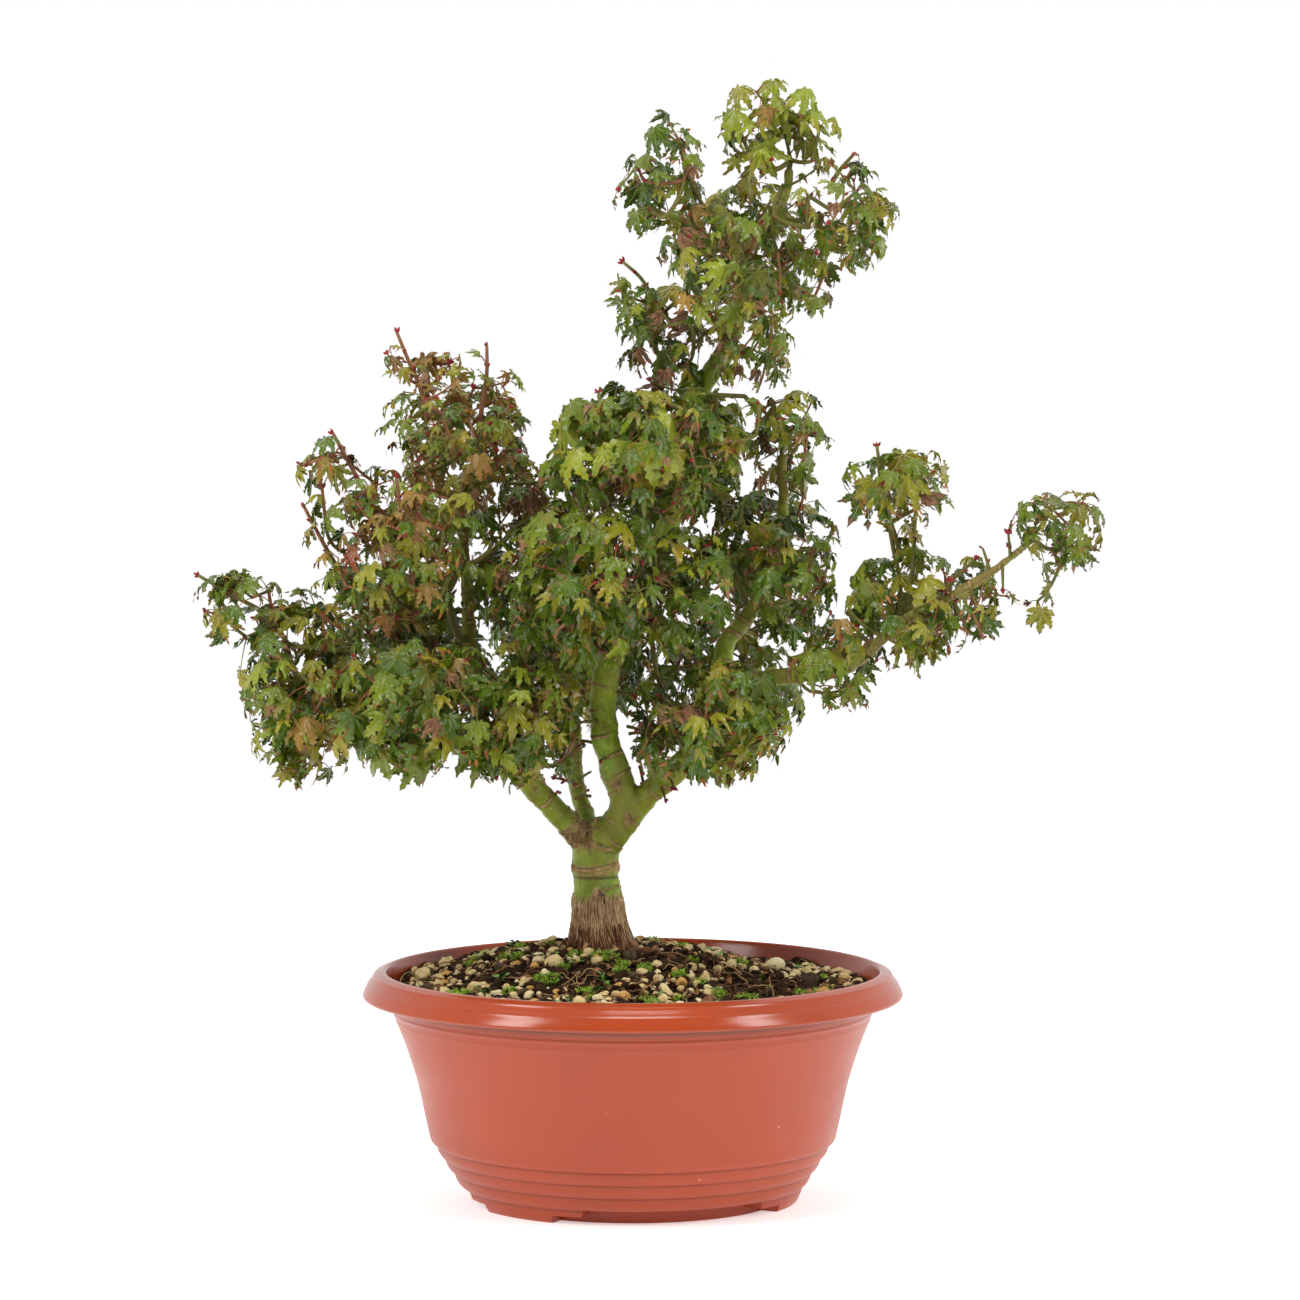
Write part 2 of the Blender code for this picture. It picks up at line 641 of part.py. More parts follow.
def build_mass(rng, name, nodes, room, parts):
    start = nodes[0]["at"]
    peg = nodes[1]["at"]
    radii = twig_radii(nodes)
    loose = new_collection(name + "_pieces")
    body = twig_piece(start, peg, None, radii[1], 0.0, parts)
    taken = []
    for index, node in enumerate(nodes[2:], start=2):
        base = nodes[node["parent"]]["at"]
        twig_piece(base, node["at"], radii[index] * 1.1, radii[index], rng.uniform(0, 2), loose)
        taken.append(base + (node["at"] - base) * np.linspace(0.1, 0.9, 7)[:, None])
    for index, node in enumerate(nodes[2:], start=2):
        base = nodes[node["parent"]]["at"]
        for share in LEAF_PLACES:
            leaf = place_leaf(rng, room, name, base + (node["at"] - base) * share, taken)
            if leaf is not None:
                leaf_piece(*leaf, loose)
    union = body.modifiers.new("fuse", "BOOLEAN")
    union.operation = "UNION"
    union.operand_type = "COLLECTION"
    union.solver = "EXACT"
    union.collection = loose
    item = bake(body, parts, name)
    for piece in list(loose.objects):
        bpy.data.objects.remove(piece)
    bpy.data.collections.remove(loose)
    keep_main_body(item.data)
    tint = TINTS.get(name, LEAF_GREEN)
    finish(item, paint("leaves_" + name, tint, 0.45), smooth=False)


def reserve_pegs(room, routes):
    """Keep every stem's first stretch free of the other masses."""
    for name in MASSES:
        start, heading = stem_start(routes, name)
        ends = np.array([[*start, STEM_ROOM], [*(start + heading * PEG_LENGTH), STEM_ROOM]])
        room.add_bars(ends[:1], ends[1:], name)


def build():
    clear_scene()
    parts = new_collection("potted_japanese_maple")
    cutters = new_collection("cutters")
    routes = {name: smooth_route(limb["route"]) for name, limb in LIMBS.items()}
    build_pot(parts, cutters)
    build_soil(parts)
    build_limbs(parts, cutters, routes)
    room = Room(routes)
    reserve_pegs(room, routes)
    dice = {name: random.Random(FIRST_SEED + number) for number, name in enumerate(MASSES)}
    twigs = {name: grow_twigs(dice[name], name, room, routes) for name in MASSES}
    for name in MASSES:
        build_mass(dice[name], name, twigs[name], room, parts)


build()
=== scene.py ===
import json
import math
import random

import bmesh
import bpy
import numpy as np
from mathutils import Matrix, Vector

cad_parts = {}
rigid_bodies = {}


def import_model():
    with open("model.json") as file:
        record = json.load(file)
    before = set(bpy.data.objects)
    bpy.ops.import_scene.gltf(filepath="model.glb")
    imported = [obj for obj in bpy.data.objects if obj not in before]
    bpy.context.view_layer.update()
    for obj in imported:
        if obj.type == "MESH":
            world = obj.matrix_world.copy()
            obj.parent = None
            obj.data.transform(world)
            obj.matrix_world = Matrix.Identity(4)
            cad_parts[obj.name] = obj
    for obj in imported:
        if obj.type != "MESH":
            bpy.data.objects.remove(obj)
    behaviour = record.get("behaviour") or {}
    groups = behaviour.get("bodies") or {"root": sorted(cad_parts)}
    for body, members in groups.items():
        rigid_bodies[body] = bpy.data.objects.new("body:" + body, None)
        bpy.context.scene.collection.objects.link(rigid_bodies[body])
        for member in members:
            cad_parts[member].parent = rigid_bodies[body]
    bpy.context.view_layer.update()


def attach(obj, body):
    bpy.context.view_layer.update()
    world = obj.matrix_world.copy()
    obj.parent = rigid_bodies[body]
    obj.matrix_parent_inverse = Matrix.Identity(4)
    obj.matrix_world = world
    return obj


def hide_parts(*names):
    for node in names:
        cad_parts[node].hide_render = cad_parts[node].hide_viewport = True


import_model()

# A Japanese maple grown as a bonsai in its plastic pot: finishes, bark, soil, twigs and leaves.
# Sizes are in millimetres and become metres where a mesh is made. The front is towards -Y.

mm = 0.001
body = "root"


def say(stage):
    print("maple:", stage)


# Small helpers for vectors, smooth curves and random draws

def unit(vector):
    return vector / max(float(np.linalg.norm(vector)), 1e-9)


def randomUnit(rng):
    return unit(np.array([rng.gauss(0, 1) for _ in range(3)]))


def anyTurn(rng):
    # a random angle, once around
    return rng.uniform(0, 6.28)


def tumble(rng):
    # a random turn about Z after a small tilt about X
    turn = Matrix.Rotation(anyTurn(rng), 3, "Z")
    return np.array(turn @ Matrix.Rotation(rng.uniform(-0.7, 0.7), 3, "X"))


def leafAxes(rng, way, up):
    # a leaf's own axes: across it, along its midrib and out of its face
    along = unit(way)
    face = unit(up - along * float(up @ along) + 0.2 * randomUnit(rng))
    across = unit(np.cross(along, face))
    return np.array([across, along, np.cross(across, along)])


def smoothRoute(waypoints, step):
    # Catmull-Rom curve through the way points, with all their values carried along
    given = [np.array(point, dtype=float) for point in waypoints]
    ends = [2 * given[0] - given[1]] + given + [2 * given[-1] - given[-2]]
    points = [given[0]]
    for before, start, end, after in zip(ends, ends[1:], ends[2:], ends[3:]):
        count = max(1, round(float(np.linalg.norm((end - start)[:3])) / step))
        for number in range(1, count + 1):
            t = number / count
            points.append(0.5 * (2 * start + (end - before) * t
                                 + (2 * before - 5 * start + 4 * end - after) * t ** 2
                                 + (3 * start - before - 3 * end + after) * t ** 3))
    return np.array(points)


def ripple(points, size, seed, waves=14):
    # smooth random relief between about -1 and 1, whose bumps are as wide as size
    rng = np.random.default_rng(seed)
    total = np.zeros(len(points))
    for _ in range(waves):
        way = rng.normal(size=3)
        way *= 2 * math.pi / size * rng.uniform(0.45, 1.1) / np.linalg.norm(way)
        total += np.sin(points @ way + rng.uniform(0, 2 * math.pi))
    return total / math.sqrt(waves)


def softStep(low, high, values):
    share = np.clip((values - low) / (high - low), 0.0, 1.0)
    return share * share * (3.0 - 2.0 * share)


# Meshes from arrays

def newHeap():
    return {"points": [], "faces": [], "count": 0}


def pile(heap, points, faces):
    heap["points"].append(points)
    heap["faces"].append(faces + heap["count"])
    heap["count"] += len(points)


def newItem(name, data):
    item = bpy.data.objects.new(name, data)
    bpy.context.scene.collection.objects.link(item)
    return item


def addPiece(name, mesh, material, replaced=()):
    mesh.materials.clear()
    mesh.materials.append(material)
    piece = newItem(name, mesh)
    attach(piece, body)
    if replaced:
        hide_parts(*replaced)
    return piece


def meshFrom(name, points, faces, smooth=True):
    mesh = bpy.data.meshes.new(name)
    mesh.from_pydata(points * mm, [], faces)
    mesh.polygons.foreach_set("use_smooth", [smooth] * len(mesh.polygons))
    mesh.update()
    return mesh


def vertexValues(mesh, key):
    values = np.zeros(len(mesh.vertices) * 3)
    mesh.vertices.foreach_get(key, values)
    return values.reshape(-1, 3)


def faceOutwards(mesh):
    bm = bmesh.new()
    bm.from_mesh(mesh)
    bmesh.ops.recalc_face_normals(bm, faces=bm.faces)
    bm.to_mesh(mesh)
    bm.free()


def appliedMesh(item):
    # the object's mesh with its modifiers applied
    depsgraph = bpy.context.evaluated_depsgraph_get()
    depsgraph.update()
    return bpy.data.meshes.new_from_object(item.evaluated_get(depsgraph))


def storeMask(mesh, name, values):
    mask = mesh.attributes.new(name, "FLOAT", "POINT")
    mask.data.foreach_set("value", np.asarray(values, dtype=np.float32))


def heapPiece(name, heap, material, replaced=(), smooth=True):
    mesh = meshFrom(name, np.vstack(heap["points"]), np.vstack(heap["faces"]), smooth)
    print("   ", name, len(mesh.polygons))
    return addPiece(name, mesh, material, replaced)


def tubeArrays(route, radii, sides, turn=0.0):
    # a closed tube along a route, its frame carried along so that it doesn't twist
    steps = np.gradient(route, axis=0)
    steps /= np.maximum(np.linalg.norm(steps, axis=1), 1e-9)[:, None]
    side = unit(np.cross(steps[0], (0.31, 0.24, 0.92) if abs(steps[0][2]) < 0.9 else (1.0, 0.1, 0.0)))
    angles = turn + np.arange(sides) * 2 * math.pi / sides
    rings = []
    for place, along, radius in zip(route, steps, radii):
        side = unit(side - along * float(side @ along))
        other = np.cross(along, side)
        rings.append(place + radius * (np.cos(angles)[:, None] * side + np.sin(angles)[:, None] * other))
    ends = [route[:1] - steps[:1] * radii[0] * 0.4, route[-1:] + steps[-1:] * radii[-1] * 0.4]
    points = np.vstack(rings + ends)
    here = np.arange(sides)
    there = (here + 1) % sides
    faces = []
    for number in range(len(route) - 1):
        low = number * sides
        high = low + sides
        faces.append(np.stack([low + here, low + there, high + there], axis=1))
        faces.append(np.stack([low + here, high + there, high + here], axis=1))
    first = np.full(sides, len(points) - 2)
    last = np.full(sides, len(points) - 1)
    top = (len(route) - 1) * sides
    faces.append(np.stack([first, there, here], axis=1))
    faces.append(np.stack([last, top + here, top + there], axis=1))
    return points, np.vstack(faces)


def ballArrays(level):
    bm = bmesh.new()
    bmesh.ops.create_icosphere(bm, subdivisions=level, radius=1.0)
    points = np.array([vert.co[:] for vert in bm.verts])
    faces = np.array([[vert.index for vert in face.verts] for face in bm.faces])
    bm.free()
    return points, faces


# Shader helpers and the groups that several finishes share

def tone(*levels):
    # a colour read off, 0 to 255, as the shader's own linear value
    shares = [level / 255 for level in levels]
    linear = [share / 12.92 if share < 0.043 else ((share + 0.055) / 1.055) ** 2.4 for share in shares]
    return tuple(linear) + (1.0,)


def setInputs(tree, node, values):
    # sockets are linked and plain values are set
    for key, value in values.items():
        if isinstance(value, bpy.types.NodeSocket):
            tree.links.new(value, node.inputs[key])
        else:
            node.inputs[key].default_value = value
    return node


def addNode(tree, kind, values=None, **settings):
    node = tree.nodes.new(kind)
    for key, value in settings.items():
        setattr(node, key, value)
    return setInputs(tree, node, values or {})


def filled(tree, group, values):
    node = tree.nodes.new("ShaderNodeGroup")
    node.node_tree = group
    return setInputs(tree, node, values)


def objectPlace(tree):
    return addNode(tree, "ShaderNodeTexCoord").outputs["Object"]


def combined(tree, operation, first, second):
    return addNode(tree, "ShaderNodeMath", {0: first, 1: second}, operation=operation).outputs[0]


def ramp(tree, value, fromLow, fromHigh, toLow=0.0, toHigh=1.0):
    return addNode(tree, "ShaderNodeMapRange", {
        "Value": value, "From Min": fromLow, "From Max": fromHigh, "To Min": toLow,
        "To Max": toHigh}).outputs[0]


def mixColours(tree, share, first, second):
    return addNode(tree, "ShaderNodeMix", {0: share, 6: first, 7: second}, data_type="RGBA").outputs[2]


def newGroup(name, sockets, results):
    # a colour socket where the value is a tuple or the result a colour, and otherwise a float socket
    group = bpy.data.node_groups.new(name, "ShaderNodeTree")
    for label, value in sockets.items():
        kind = "NodeSocketColor" if isinstance(value, tuple) else "NodeSocketFloat"
        socket = group.interface.new_socket(name=label, in_out="INPUT", socket_type=kind)
        socket.default_value = value
    for label in results:
        kind = "NodeSocketColor" if label == "Colour" else "NodeSocketFloat"
        group.interface.new_socket(name=label, in_out="OUTPUT", socket_type=kind)
    return group, group.nodes.new("NodeGroupInput").outputs, group.nodes.new("NodeGroupOutput")


def makeMottle():
    # two colours mixed by soft patches and finer flecks
    group, given, result = newGroup("mottle", {
        "Light Colour": (0.5, 0.5, 0.5, 1), "Dark Colour": (0.2, 0.2, 0.2, 1), "Patch Scale": 60.0,
        "Fleck Scale": 400.0, "Fleck Share": 0.4, "Contrast": 0.22}, ("Colour", "Mask"))
    place = objectPlace(group)
    patch = addNode(group, "ShaderNodeTexNoise",
                    {"Vector": place, "Scale": given["Patch Scale"], "Detail": 2.0})
    fleck = addNode(group, "ShaderNodeTexNoise",
                    {"Vector": place, "Scale": given["Fleck Scale"], "Detail": 3.0})
    both = addNode(group, "ShaderNodeMix", {
        0: given["Fleck Share"], 2: patch.outputs["Fac"], 3: fleck.outputs["Fac"]})
    low = combined(group, "SUBTRACT", 0.5, given["Contrast"])
    high = combined(group, "ADD", 0.5, given["Contrast"])
    mask = ramp(group, both.outputs[0], low, high)
    setInputs(group, result, {
        "Colour": mixColours(group, mask, given["Dark Colour"], given["Light Colour"]), "Mask": mask})
    return group


def makeSpecks():
    # scattered round specks, one where a cell's own draw falls under the share
    group, given, result = newGroup("specks", {"Scale": 200.0, "Share": 0.1, "Size": 0.2}, ("Mask",))
    cells = addNode(group, "ShaderNodeTexVoronoi", {"Vector": objectPlace(group), "Scale": given["Scale"]})
    draw = addNode(group, "ShaderNodeSeparateColor", {0: cells.outputs["Color"]})
    chosen = combined(group, "LESS_THAN", draw.outputs[0], given["Share"])
    edge = combined(group, "MULTIPLY", given["Size"], 0.6)
    spot = ramp(group, cells.outputs["Distance"], given["Size"], edge)
    setInputs(group, result, {"Mask": combined(group, "MULTIPLY", chosen, spot)})
    return group


def makeGrain():
    # a fine height for bumps, drawn out along Z by the stretch
    group, given, result = newGroup("grain", {"Scale": 500.0, "Stretch": 1.0, "Roughness": 0.6}, ("Height",))
    shape = addNode(group, "ShaderNodeCombineXYZ", {0: 1.0, 1: 1.0, 2: given["Stretch"]})
    drawn = addNode(group, "ShaderNodeVectorMath", {0: objectPlace(group), 1: shape.outputs[0]},
                    operation="MULTIPLY")
    noise = addNode(group, "ShaderNodeTexNoise", {
        "Vector": drawn.outputs[0], "Scale": given["Scale"], "Detail": 5.0, "Roughness": given["Roughness"]})
    setInputs(group, result, {"Height": noise.outputs["Fac"]})
    return group


mottle = makeMottle()
specks = makeSpecks()
grain = makeGrain()


def newFinish(name, roughness, **fixed):
    material = bpy.data.materials.new(name)
    material.use_nodes = True
    tree = material.node_tree
    shader = tree.nodes["Principled BSDF"]
    shader.inputs["Roughness"].default_value = roughness
    for key, value in fixed.items():
        shader.inputs[key.replace("_", " ")].default_value = value
    return material, tree, shader


def spread(tree, value, low, high):
    return ramp(tree, value, 0.0, 1.0, low, high)


def addBump(tree, shader, height, strength, distance):
    bump = addNode(tree, "ShaderNodeBump", {"Height": height, "Strength": strength, "Distance": distance})
    tree.links.new(bump.outputs[0], shader.inputs["Normal"])


def plainFinish(name, light, dark, roughness, patchScale=60.0, fleckScale=420.0, contrast=0.2, bump=0.25,
                bumpScale=900.0, depth=0.0004, **fixed):
    # the usual finish of the small parts: a mottled colour, a wandering roughness and a fine grain
    material, tree, shader = newFinish(name, roughness, **fixed)
    colour = filled(tree, mottle, {"Light Colour": light, "Dark Colour": dark, "Patch Scale": patchScale,
                                   "Fleck Scale": fleckScale, "Contrast": contrast})
    rough = spread(tree, colour.outputs["Mask"], roughness * 1.2, roughness * 0.85)
    setInputs(tree, shader, {"Base Color": colour.outputs["Colour"], "Roughness": rough})
    relief = filled(tree, grain, {"Scale": bumpScale})
    addBump(tree, shader, relief.outputs["Height"], bump, depth)
    return material


# Camera, light and floor

studio = {
    "cameraPlace": (0.0088, -3.0, 0.5166), "cameraTilt": 85.57, "lens": 162.3, "sensor": 36.0,
    "cameraReach": 60.0,
    "floorSize": 3.2, "floorColour": (0.92, 0.92, 0.92, 1.0), "floorGlow": 0.5,
    "skyFront": 0.12, "skyBack": 0.95, "skyFrom": -0.9, "skyTo": 0.35, "lightAim": (0.0, 0.0, 0.3),
    "boxes": (  # name, angle from the front, distance, height, size, power
        ("leftBox", -54.0, 1.6, 1.05, (0.5, 0.95), 14.5),
        ("rightBox", 57.0, 1.65, 1.0, (0.45, 0.95), 13.0),
        ("topBox", 6.0, 0.6, 1.95, (0.7, 0.7), 13.0)),
}


def setCamera():
    camera = bpy.data.cameras.new("camera")
    camera.lens = studio["lens"]
    camera.sensor_width = studio["sensor"]
    camera.clip_end = studio["cameraReach"]
    item = newItem("camera", camera)
    item.location = studio["cameraPlace"]
    item.rotation_euler = (math.radians(studio["cameraTilt"]), 0.0, 0.0)
    bpy.context.scene.camera = item


def setLights():
    aim = Vector(studio["lightAim"])
    for name, angle, away, height, size, power in studio["boxes"]:
        light = bpy.data.lights.new(name, "AREA")
        light.shape = "RECTANGLE"
        light.size = size[0]
        light.size_y = size[1]
        light.energy = power
        item = newItem(name, light)
        turn = math.radians(angle)
        item.location = (away * math.sin(turn), -away * math.cos(turn), height)
        item.rotation_euler = (aim - item.location).to_track_quat("-Z", "Y").to_euler()


def setWorld():
    # white all round for the camera, and for the light paler behind the plant than in front of it
    world = bpy.data.worlds.new("studio")
    world.use_nodes = True
    tree = world.node_tree
    background = tree.nodes["Background"]
    place = addNode(tree, "ShaderNodeTexCoord").outputs["Generated"]
    depth = addNode(tree, "ShaderNodeSeparateXYZ", {0: place}).outputs["Y"]
    bright = ramp(tree, depth, studio["skyFrom"], studio["skyTo"], studio["skyFront"], studio["skyBack"])
    path = addNode(tree, "ShaderNodeLightPath")
    strength = addNode(tree, "ShaderNodeMix", {0: path.outputs["Is Camera Ray"], 2: bright, 3: 1.0})
    setInputs(tree, background, {"Color": (1.0, 1.0, 1.0, 1.0), "Strength": strength.outputs[0]})
    bpy.context.scene.world = world
    bpy.context.scene.view_settings.view_transform = "Standard"


def layFloor():
    half = studio["floorSize"] / 2 / mm
    corners = np.array([(-half, -half, 0), (half, -half, 0), (half, half, 0), (-half, half, 0)], dtype=float)
    mesh = meshFrom("floor", corners, np.array([(0, 1, 2), (0, 2, 3)]), smooth=False)
    paper = newFinish("whitePaper", 0.9, Base_Color=studio["floorColour"], Specular_IOR_Level=0.1,
                      Emission_Color=studio["floorColour"], Emission_Strength=studio["floorGlow"])[0]
    mesh.materials.append(paper)
    newItem("floor", mesh)


setCamera()
setLights()
setWorld()
layFloor()
say("camera, light and floor")

# Pot: a turned plastic shell with a rolled lip, three stepped bands and a foot cut out in three places

pot = {
    "steps": 168, "wallStep": 1.6, "fineWithin": 2.0, "fineAbove": 99.0, "fineSteps": 4,
    "inside": ((86.6, 10.5), (103.1, 36.2), (105.0, 44.0), (114.6, 80.0), (122.7, 105.0)),
    "lip": (  # the lip's section from the inside over the top: start, end, bulge and number of points
        ((124.4, 109.0), (126.5, 116.2), 0.0, 4), ((130.9, 118.55), (132.7, 117.75), 0.05, 3),
        ((134.0, 116.2), (136.5, 112.6), 0.12, 4), ((137.2, 111.5), (138.95, 107.9), 0.12, 5)),
    "crest": ((126.9, 117.7), (127.2, 118.5), (127.8, 119.05), (128.5, 119.2), (129.2, 119.1),
              (130.3, 118.8)),
    "ridge": ((133.1, 117.7), (133.45, 117.35), (133.6, 116.8)),
    "crease": ((136.8, 112.45), (137.0, 112.0)),
    "roll": ((139.2, 107.2), (139.3, 106.6), (139.15, 106.0), (138.7, 105.55), (138.0, 105.3),
             (136.9, 105.2)),
    "underLip": ((134.8, 105.35), (131.0, 105.2), (127.4, 104.9), (126.0, 104.4)),
    "waist": ((125.2, 103.6), (122.6, 95.0), (116.9, 80.0), (111.4, 62.5), (107.3, 44.0), (105.1, 34.2)),
    "neckLines": (98.4, 94.2), "lineHeight": 0.5, "lineWidth": 0.5,
    "bands": ((102.0, 29.6), (97.9, 22.6), (93.1, 15.3), (88.5, 7.9)), "bandStep": 0.8, "bandBulge": 0.75,
    "foot": 84.5, "footInner": 75.0, "footBulge": 0.3, "sump": 72.5, "plateBottom": 1.3, "plateTop": 4.2,
    "ledge": 10.5, "gapFirst": -74.1, "gaps": 3, "gapStep": 2.5, "gapInner": 75.6, "gapOuter": 98.0,
    "gapBelow": -2.0,
    "gapTop": (  # how high the foot is cut away, by degrees from the gap's middle
        (-44.7, -1.0), (-43.9, 4.2), (-33.0, 4.3), (-32.2, 8.3), (32.2, 8.3), (33.0, 4.3), (43.9, 4.2),
        (44.7, -1.0)),
    "paintedShadeLines": (  # height, reach and strength of the painted shade: a dark band under the lip and dark lines at the neck lines and in the band grooves
        (103.6, 1.9, 0.85), (98.0, 0.5, 0.25), (93.8, 0.5, 0.25), (29.0, 0.9, 0.26), (22.0, 0.9, 0.26),
        (14.7, 0.9, 0.26), (7.3, 0.8, 0.26)),
    "paintedShadeFrom": 84.0, "insideAbove": 40.0, "insideWithin": 124.0, "sharpAngle": 38.0,
    "colour": tone(174, 69, 30), "shade": tone(152, 57, 26), "speck": tone(226, 196, 176),
    # the grime colour serves the pot's dirt specks and also the painted shade under the lip, at the neck
    # lines and in the band grooves
    "grimeAndShade": tone(92, 52, 38),
    "gloss": (0.0935, 0.1055, 0.38, 0.19), "smear": 0.12,  # roughness falls between two heights, and wanders
}


def bowedLine(start, end, bulge, count):
    # points from start towards end, bowed outwards to the line's left
    start = np.array(start, dtype=float)
    end = np.array(end, dtype=float)
    across = unit(np.array([start[1] - end[1], end[0] - start[0]])) * bulge * 4
    return [tuple(start + (end - start) * t + across * t * (1 - t)) for t in np.linspace(0, 1, count)]


def potOuterWall():
    wall = smoothRoute([(r, z, 0.0) for r, z in pot["waist"]], pot["wallStep"])
    points = []
    for radius, height, _ in wall:
        for line in pot["neckLines"]:
            radius += pot["lineHeight"] * math.exp(-((height - line) / pot["lineWidth"]) ** 2)
        points.append((radius, height))
    fine = []
    for (r0, z0), (r1, z1) in zip(points, points[1:]):
        close = min(abs((z0 + z1) / 2 - line) for line in pot["neckLines"]) < pot["fineWithin"]
        count = pot["fineSteps"] if close or z0 > pot["fineAbove"] else 1
        fine += [(r0 + (r1 - r0) * n / count, z0 + (z1 - z0) * n / count) for n in range(count)]
    return fine + [points[-1]]


def potBands():
    # bowed bands, each ending in a small rounded edge and a groove
    points = []
    top = (pot["waist"][-1][0], pot["waist"][-1][1])
    for radius, height in pot["bands"]:
        points += bowedLine(top, (radius + 0.15, height + 0.25), pot["bandBulge"], 8)[1:]
        points.append((radius - 0.12, height - 0.12))
        points.append((radius - 0.55, height - 0.3))
        top = (radius - pot["bandStep"], height - 0.75)
        points.append((radius - pot["bandStep"] - 0.05, height - 0.5))
        points.append(top)
    points += bowedLine(top, (pot["foot"] + 0.6, 0.5), pot["footBulge"], 5)[1:]
    return points


def potProfile():
    # from the middle of the floor up the inside, over the lip, down the outside and back to the middle
    inside = [(0.0, pot["plateTop"]), (pot["sump"], pot["plateTop"]), (pot["sump"], pot["ledge"]),
              *pot["inside"]]
    inner, upper, side, edge = [bowedLine(*line) for line in pot["lip"]]
    lip = inner + [*pot["crest"]] + upper + [*pot["ridge"]] + side + [*pot["crease"]] + edge
    lip += [*pot["roll"], *pot["underLip"]]
    bottom = [(pot["foot"] + 0.2, 0.1), (pot["foot"] - 0.4, 0.0), (pot["footInner"] + 0.4, 0.0),
              (pot["footInner"], 0.4), (pot["footInner"], pot["plateBottom"]), (0.0, pot["plateBottom"])]
    return inside + lip + potOuterWall() + potBands() + bottom


def turnedMesh(profile, steps):
    # the profile turned about Z; its two ends lie on the axis
    rings = [(r, z) for r, z in profile if r > 1e-6]
    angles = np.arange(steps) * 2 * math.pi / steps
    turned = [np.stack([r * np.cos(angles), r * np.sin(angles), np.full(steps, z)], axis=1) for r, z in rings]
    points = np.vstack(turned + [np.array([[0.0, 0.0, profile[0][1]], [0.0, 0.0, profile[-1][1]]])])
    here = np.arange(steps)
    there = (here + 1) % steps
    faces = []
    for number in range(len(rings) - 1):
        low = number * steps
        high = low + steps
        faces += np.stack([low + here, low + there, high + there, high + here], axis=1).tolist()
    last = (len(rings) - 1) * steps
    faces += [[len(points) - 2, int(b), int(a)] for a, b in zip(here, there)]
    faces += [[len(points) - 1, int(last + a), int(last + b)] for a, b in zip(here, there)]
    return points, faces


def footCutter(number):
    # a block swept round the foot, in two steps with slanting ends, as wide as the gap between two feet
    centre = pot["gapFirst"] + number * 360.0 / pot["gaps"]
    low = pot["gapBelow"]
    inner = pot["gapInner"]
    outer = pot["gapOuter"]
    points = []
    for (first, start), (last, end) in zip(pot["gapTop"], pot["gapTop"][1:] + pot["gapTop"][-1:]):
        count = max(1, round((last - first) / pot["gapStep"]))
        for step in range(count):
            turn = math.radians(centre + first + (last - first) * step / count)
            top = start + (end - start) * step / count
            section = ((inner, low), (outer, low), (outer, top), (inner, top - 0.3))
            points += [(radius * math.cos(turn), radius * math.sin(turn), height)
                       for radius, height in section]
    rings = len(points) // 4
    faces = [[3, 2, 1, 0], [len(points) - 4, len(points) - 3, len(points) - 2, len(points) - 1]]
    for ring in range(rings - 1):
        for corner in range(4):
            after = (corner + 1) % 4
            faces.append([ring * 4 + corner, ring * 4 + after, ring * 4 + 4 + after, ring * 4 + 4 + corner])
    mesh = meshFrom("footGap", np.array(points), faces, smooth=False)
    faceOutwards(mesh)
    return newItem("footGap%d" % number, mesh)


def potFinish():
    material, tree, shader = newFinish("terracottaPlastic", 0.36, Specular_IOR_Level=0.47)
    base = filled(tree, mottle, {"Light Colour": pot["colour"], "Dark Colour": pot["shade"],
                                 "Patch Scale": 14.0,
                                 "Fleck Scale": 900.0, "Fleck Share": 0.25, "Contrast": 0.35})
    pale = filled(tree, specks, {"Scale": 150.0, "Share": 0.05, "Size": 0.07})
    dirt = filled(tree, specks, {"Scale": 110.0, "Share": 0.04, "Size": 0.06})
    paintedShade = addNode(tree, "ShaderNodeAttribute", attribute_name="paintedShade").outputs["Fac"]
    colour = mixColours(tree, pale.outputs["Mask"], base.outputs["Colour"], pot["speck"])
    colour = mixColours(tree, dirt.outputs["Mask"], colour, pot["grimeAndShade"])
    # painted shade: the stored groove mask darkens the pot under the lip, at the neck lines and in the band
    # grooves
    colour = mixColours(tree, paintedShade, colour, pot["grimeAndShade"])
    height = addNode(tree, "ShaderNodeSeparateXYZ", {0: objectPlace(tree)}).outputs["Z"]
    gloss = ramp(tree, height, *pot["gloss"])
    smear = filled(tree, grain, {"Scale": 22.0, "Stretch": 3.0})
    wander = spread(tree, smear.outputs["Height"], -pot["smear"], pot["smear"])
    setInputs(tree, shader, {"Base Color": colour, "Roughness": combined(tree, "ADD", gloss, wander)})
    fine = filled(tree, grain, {"Scale": 1300.0, "Roughness": 0.5})
    addBump(tree, shader, fine.outputs["Height"], 0.14, 0.0002)
    return material


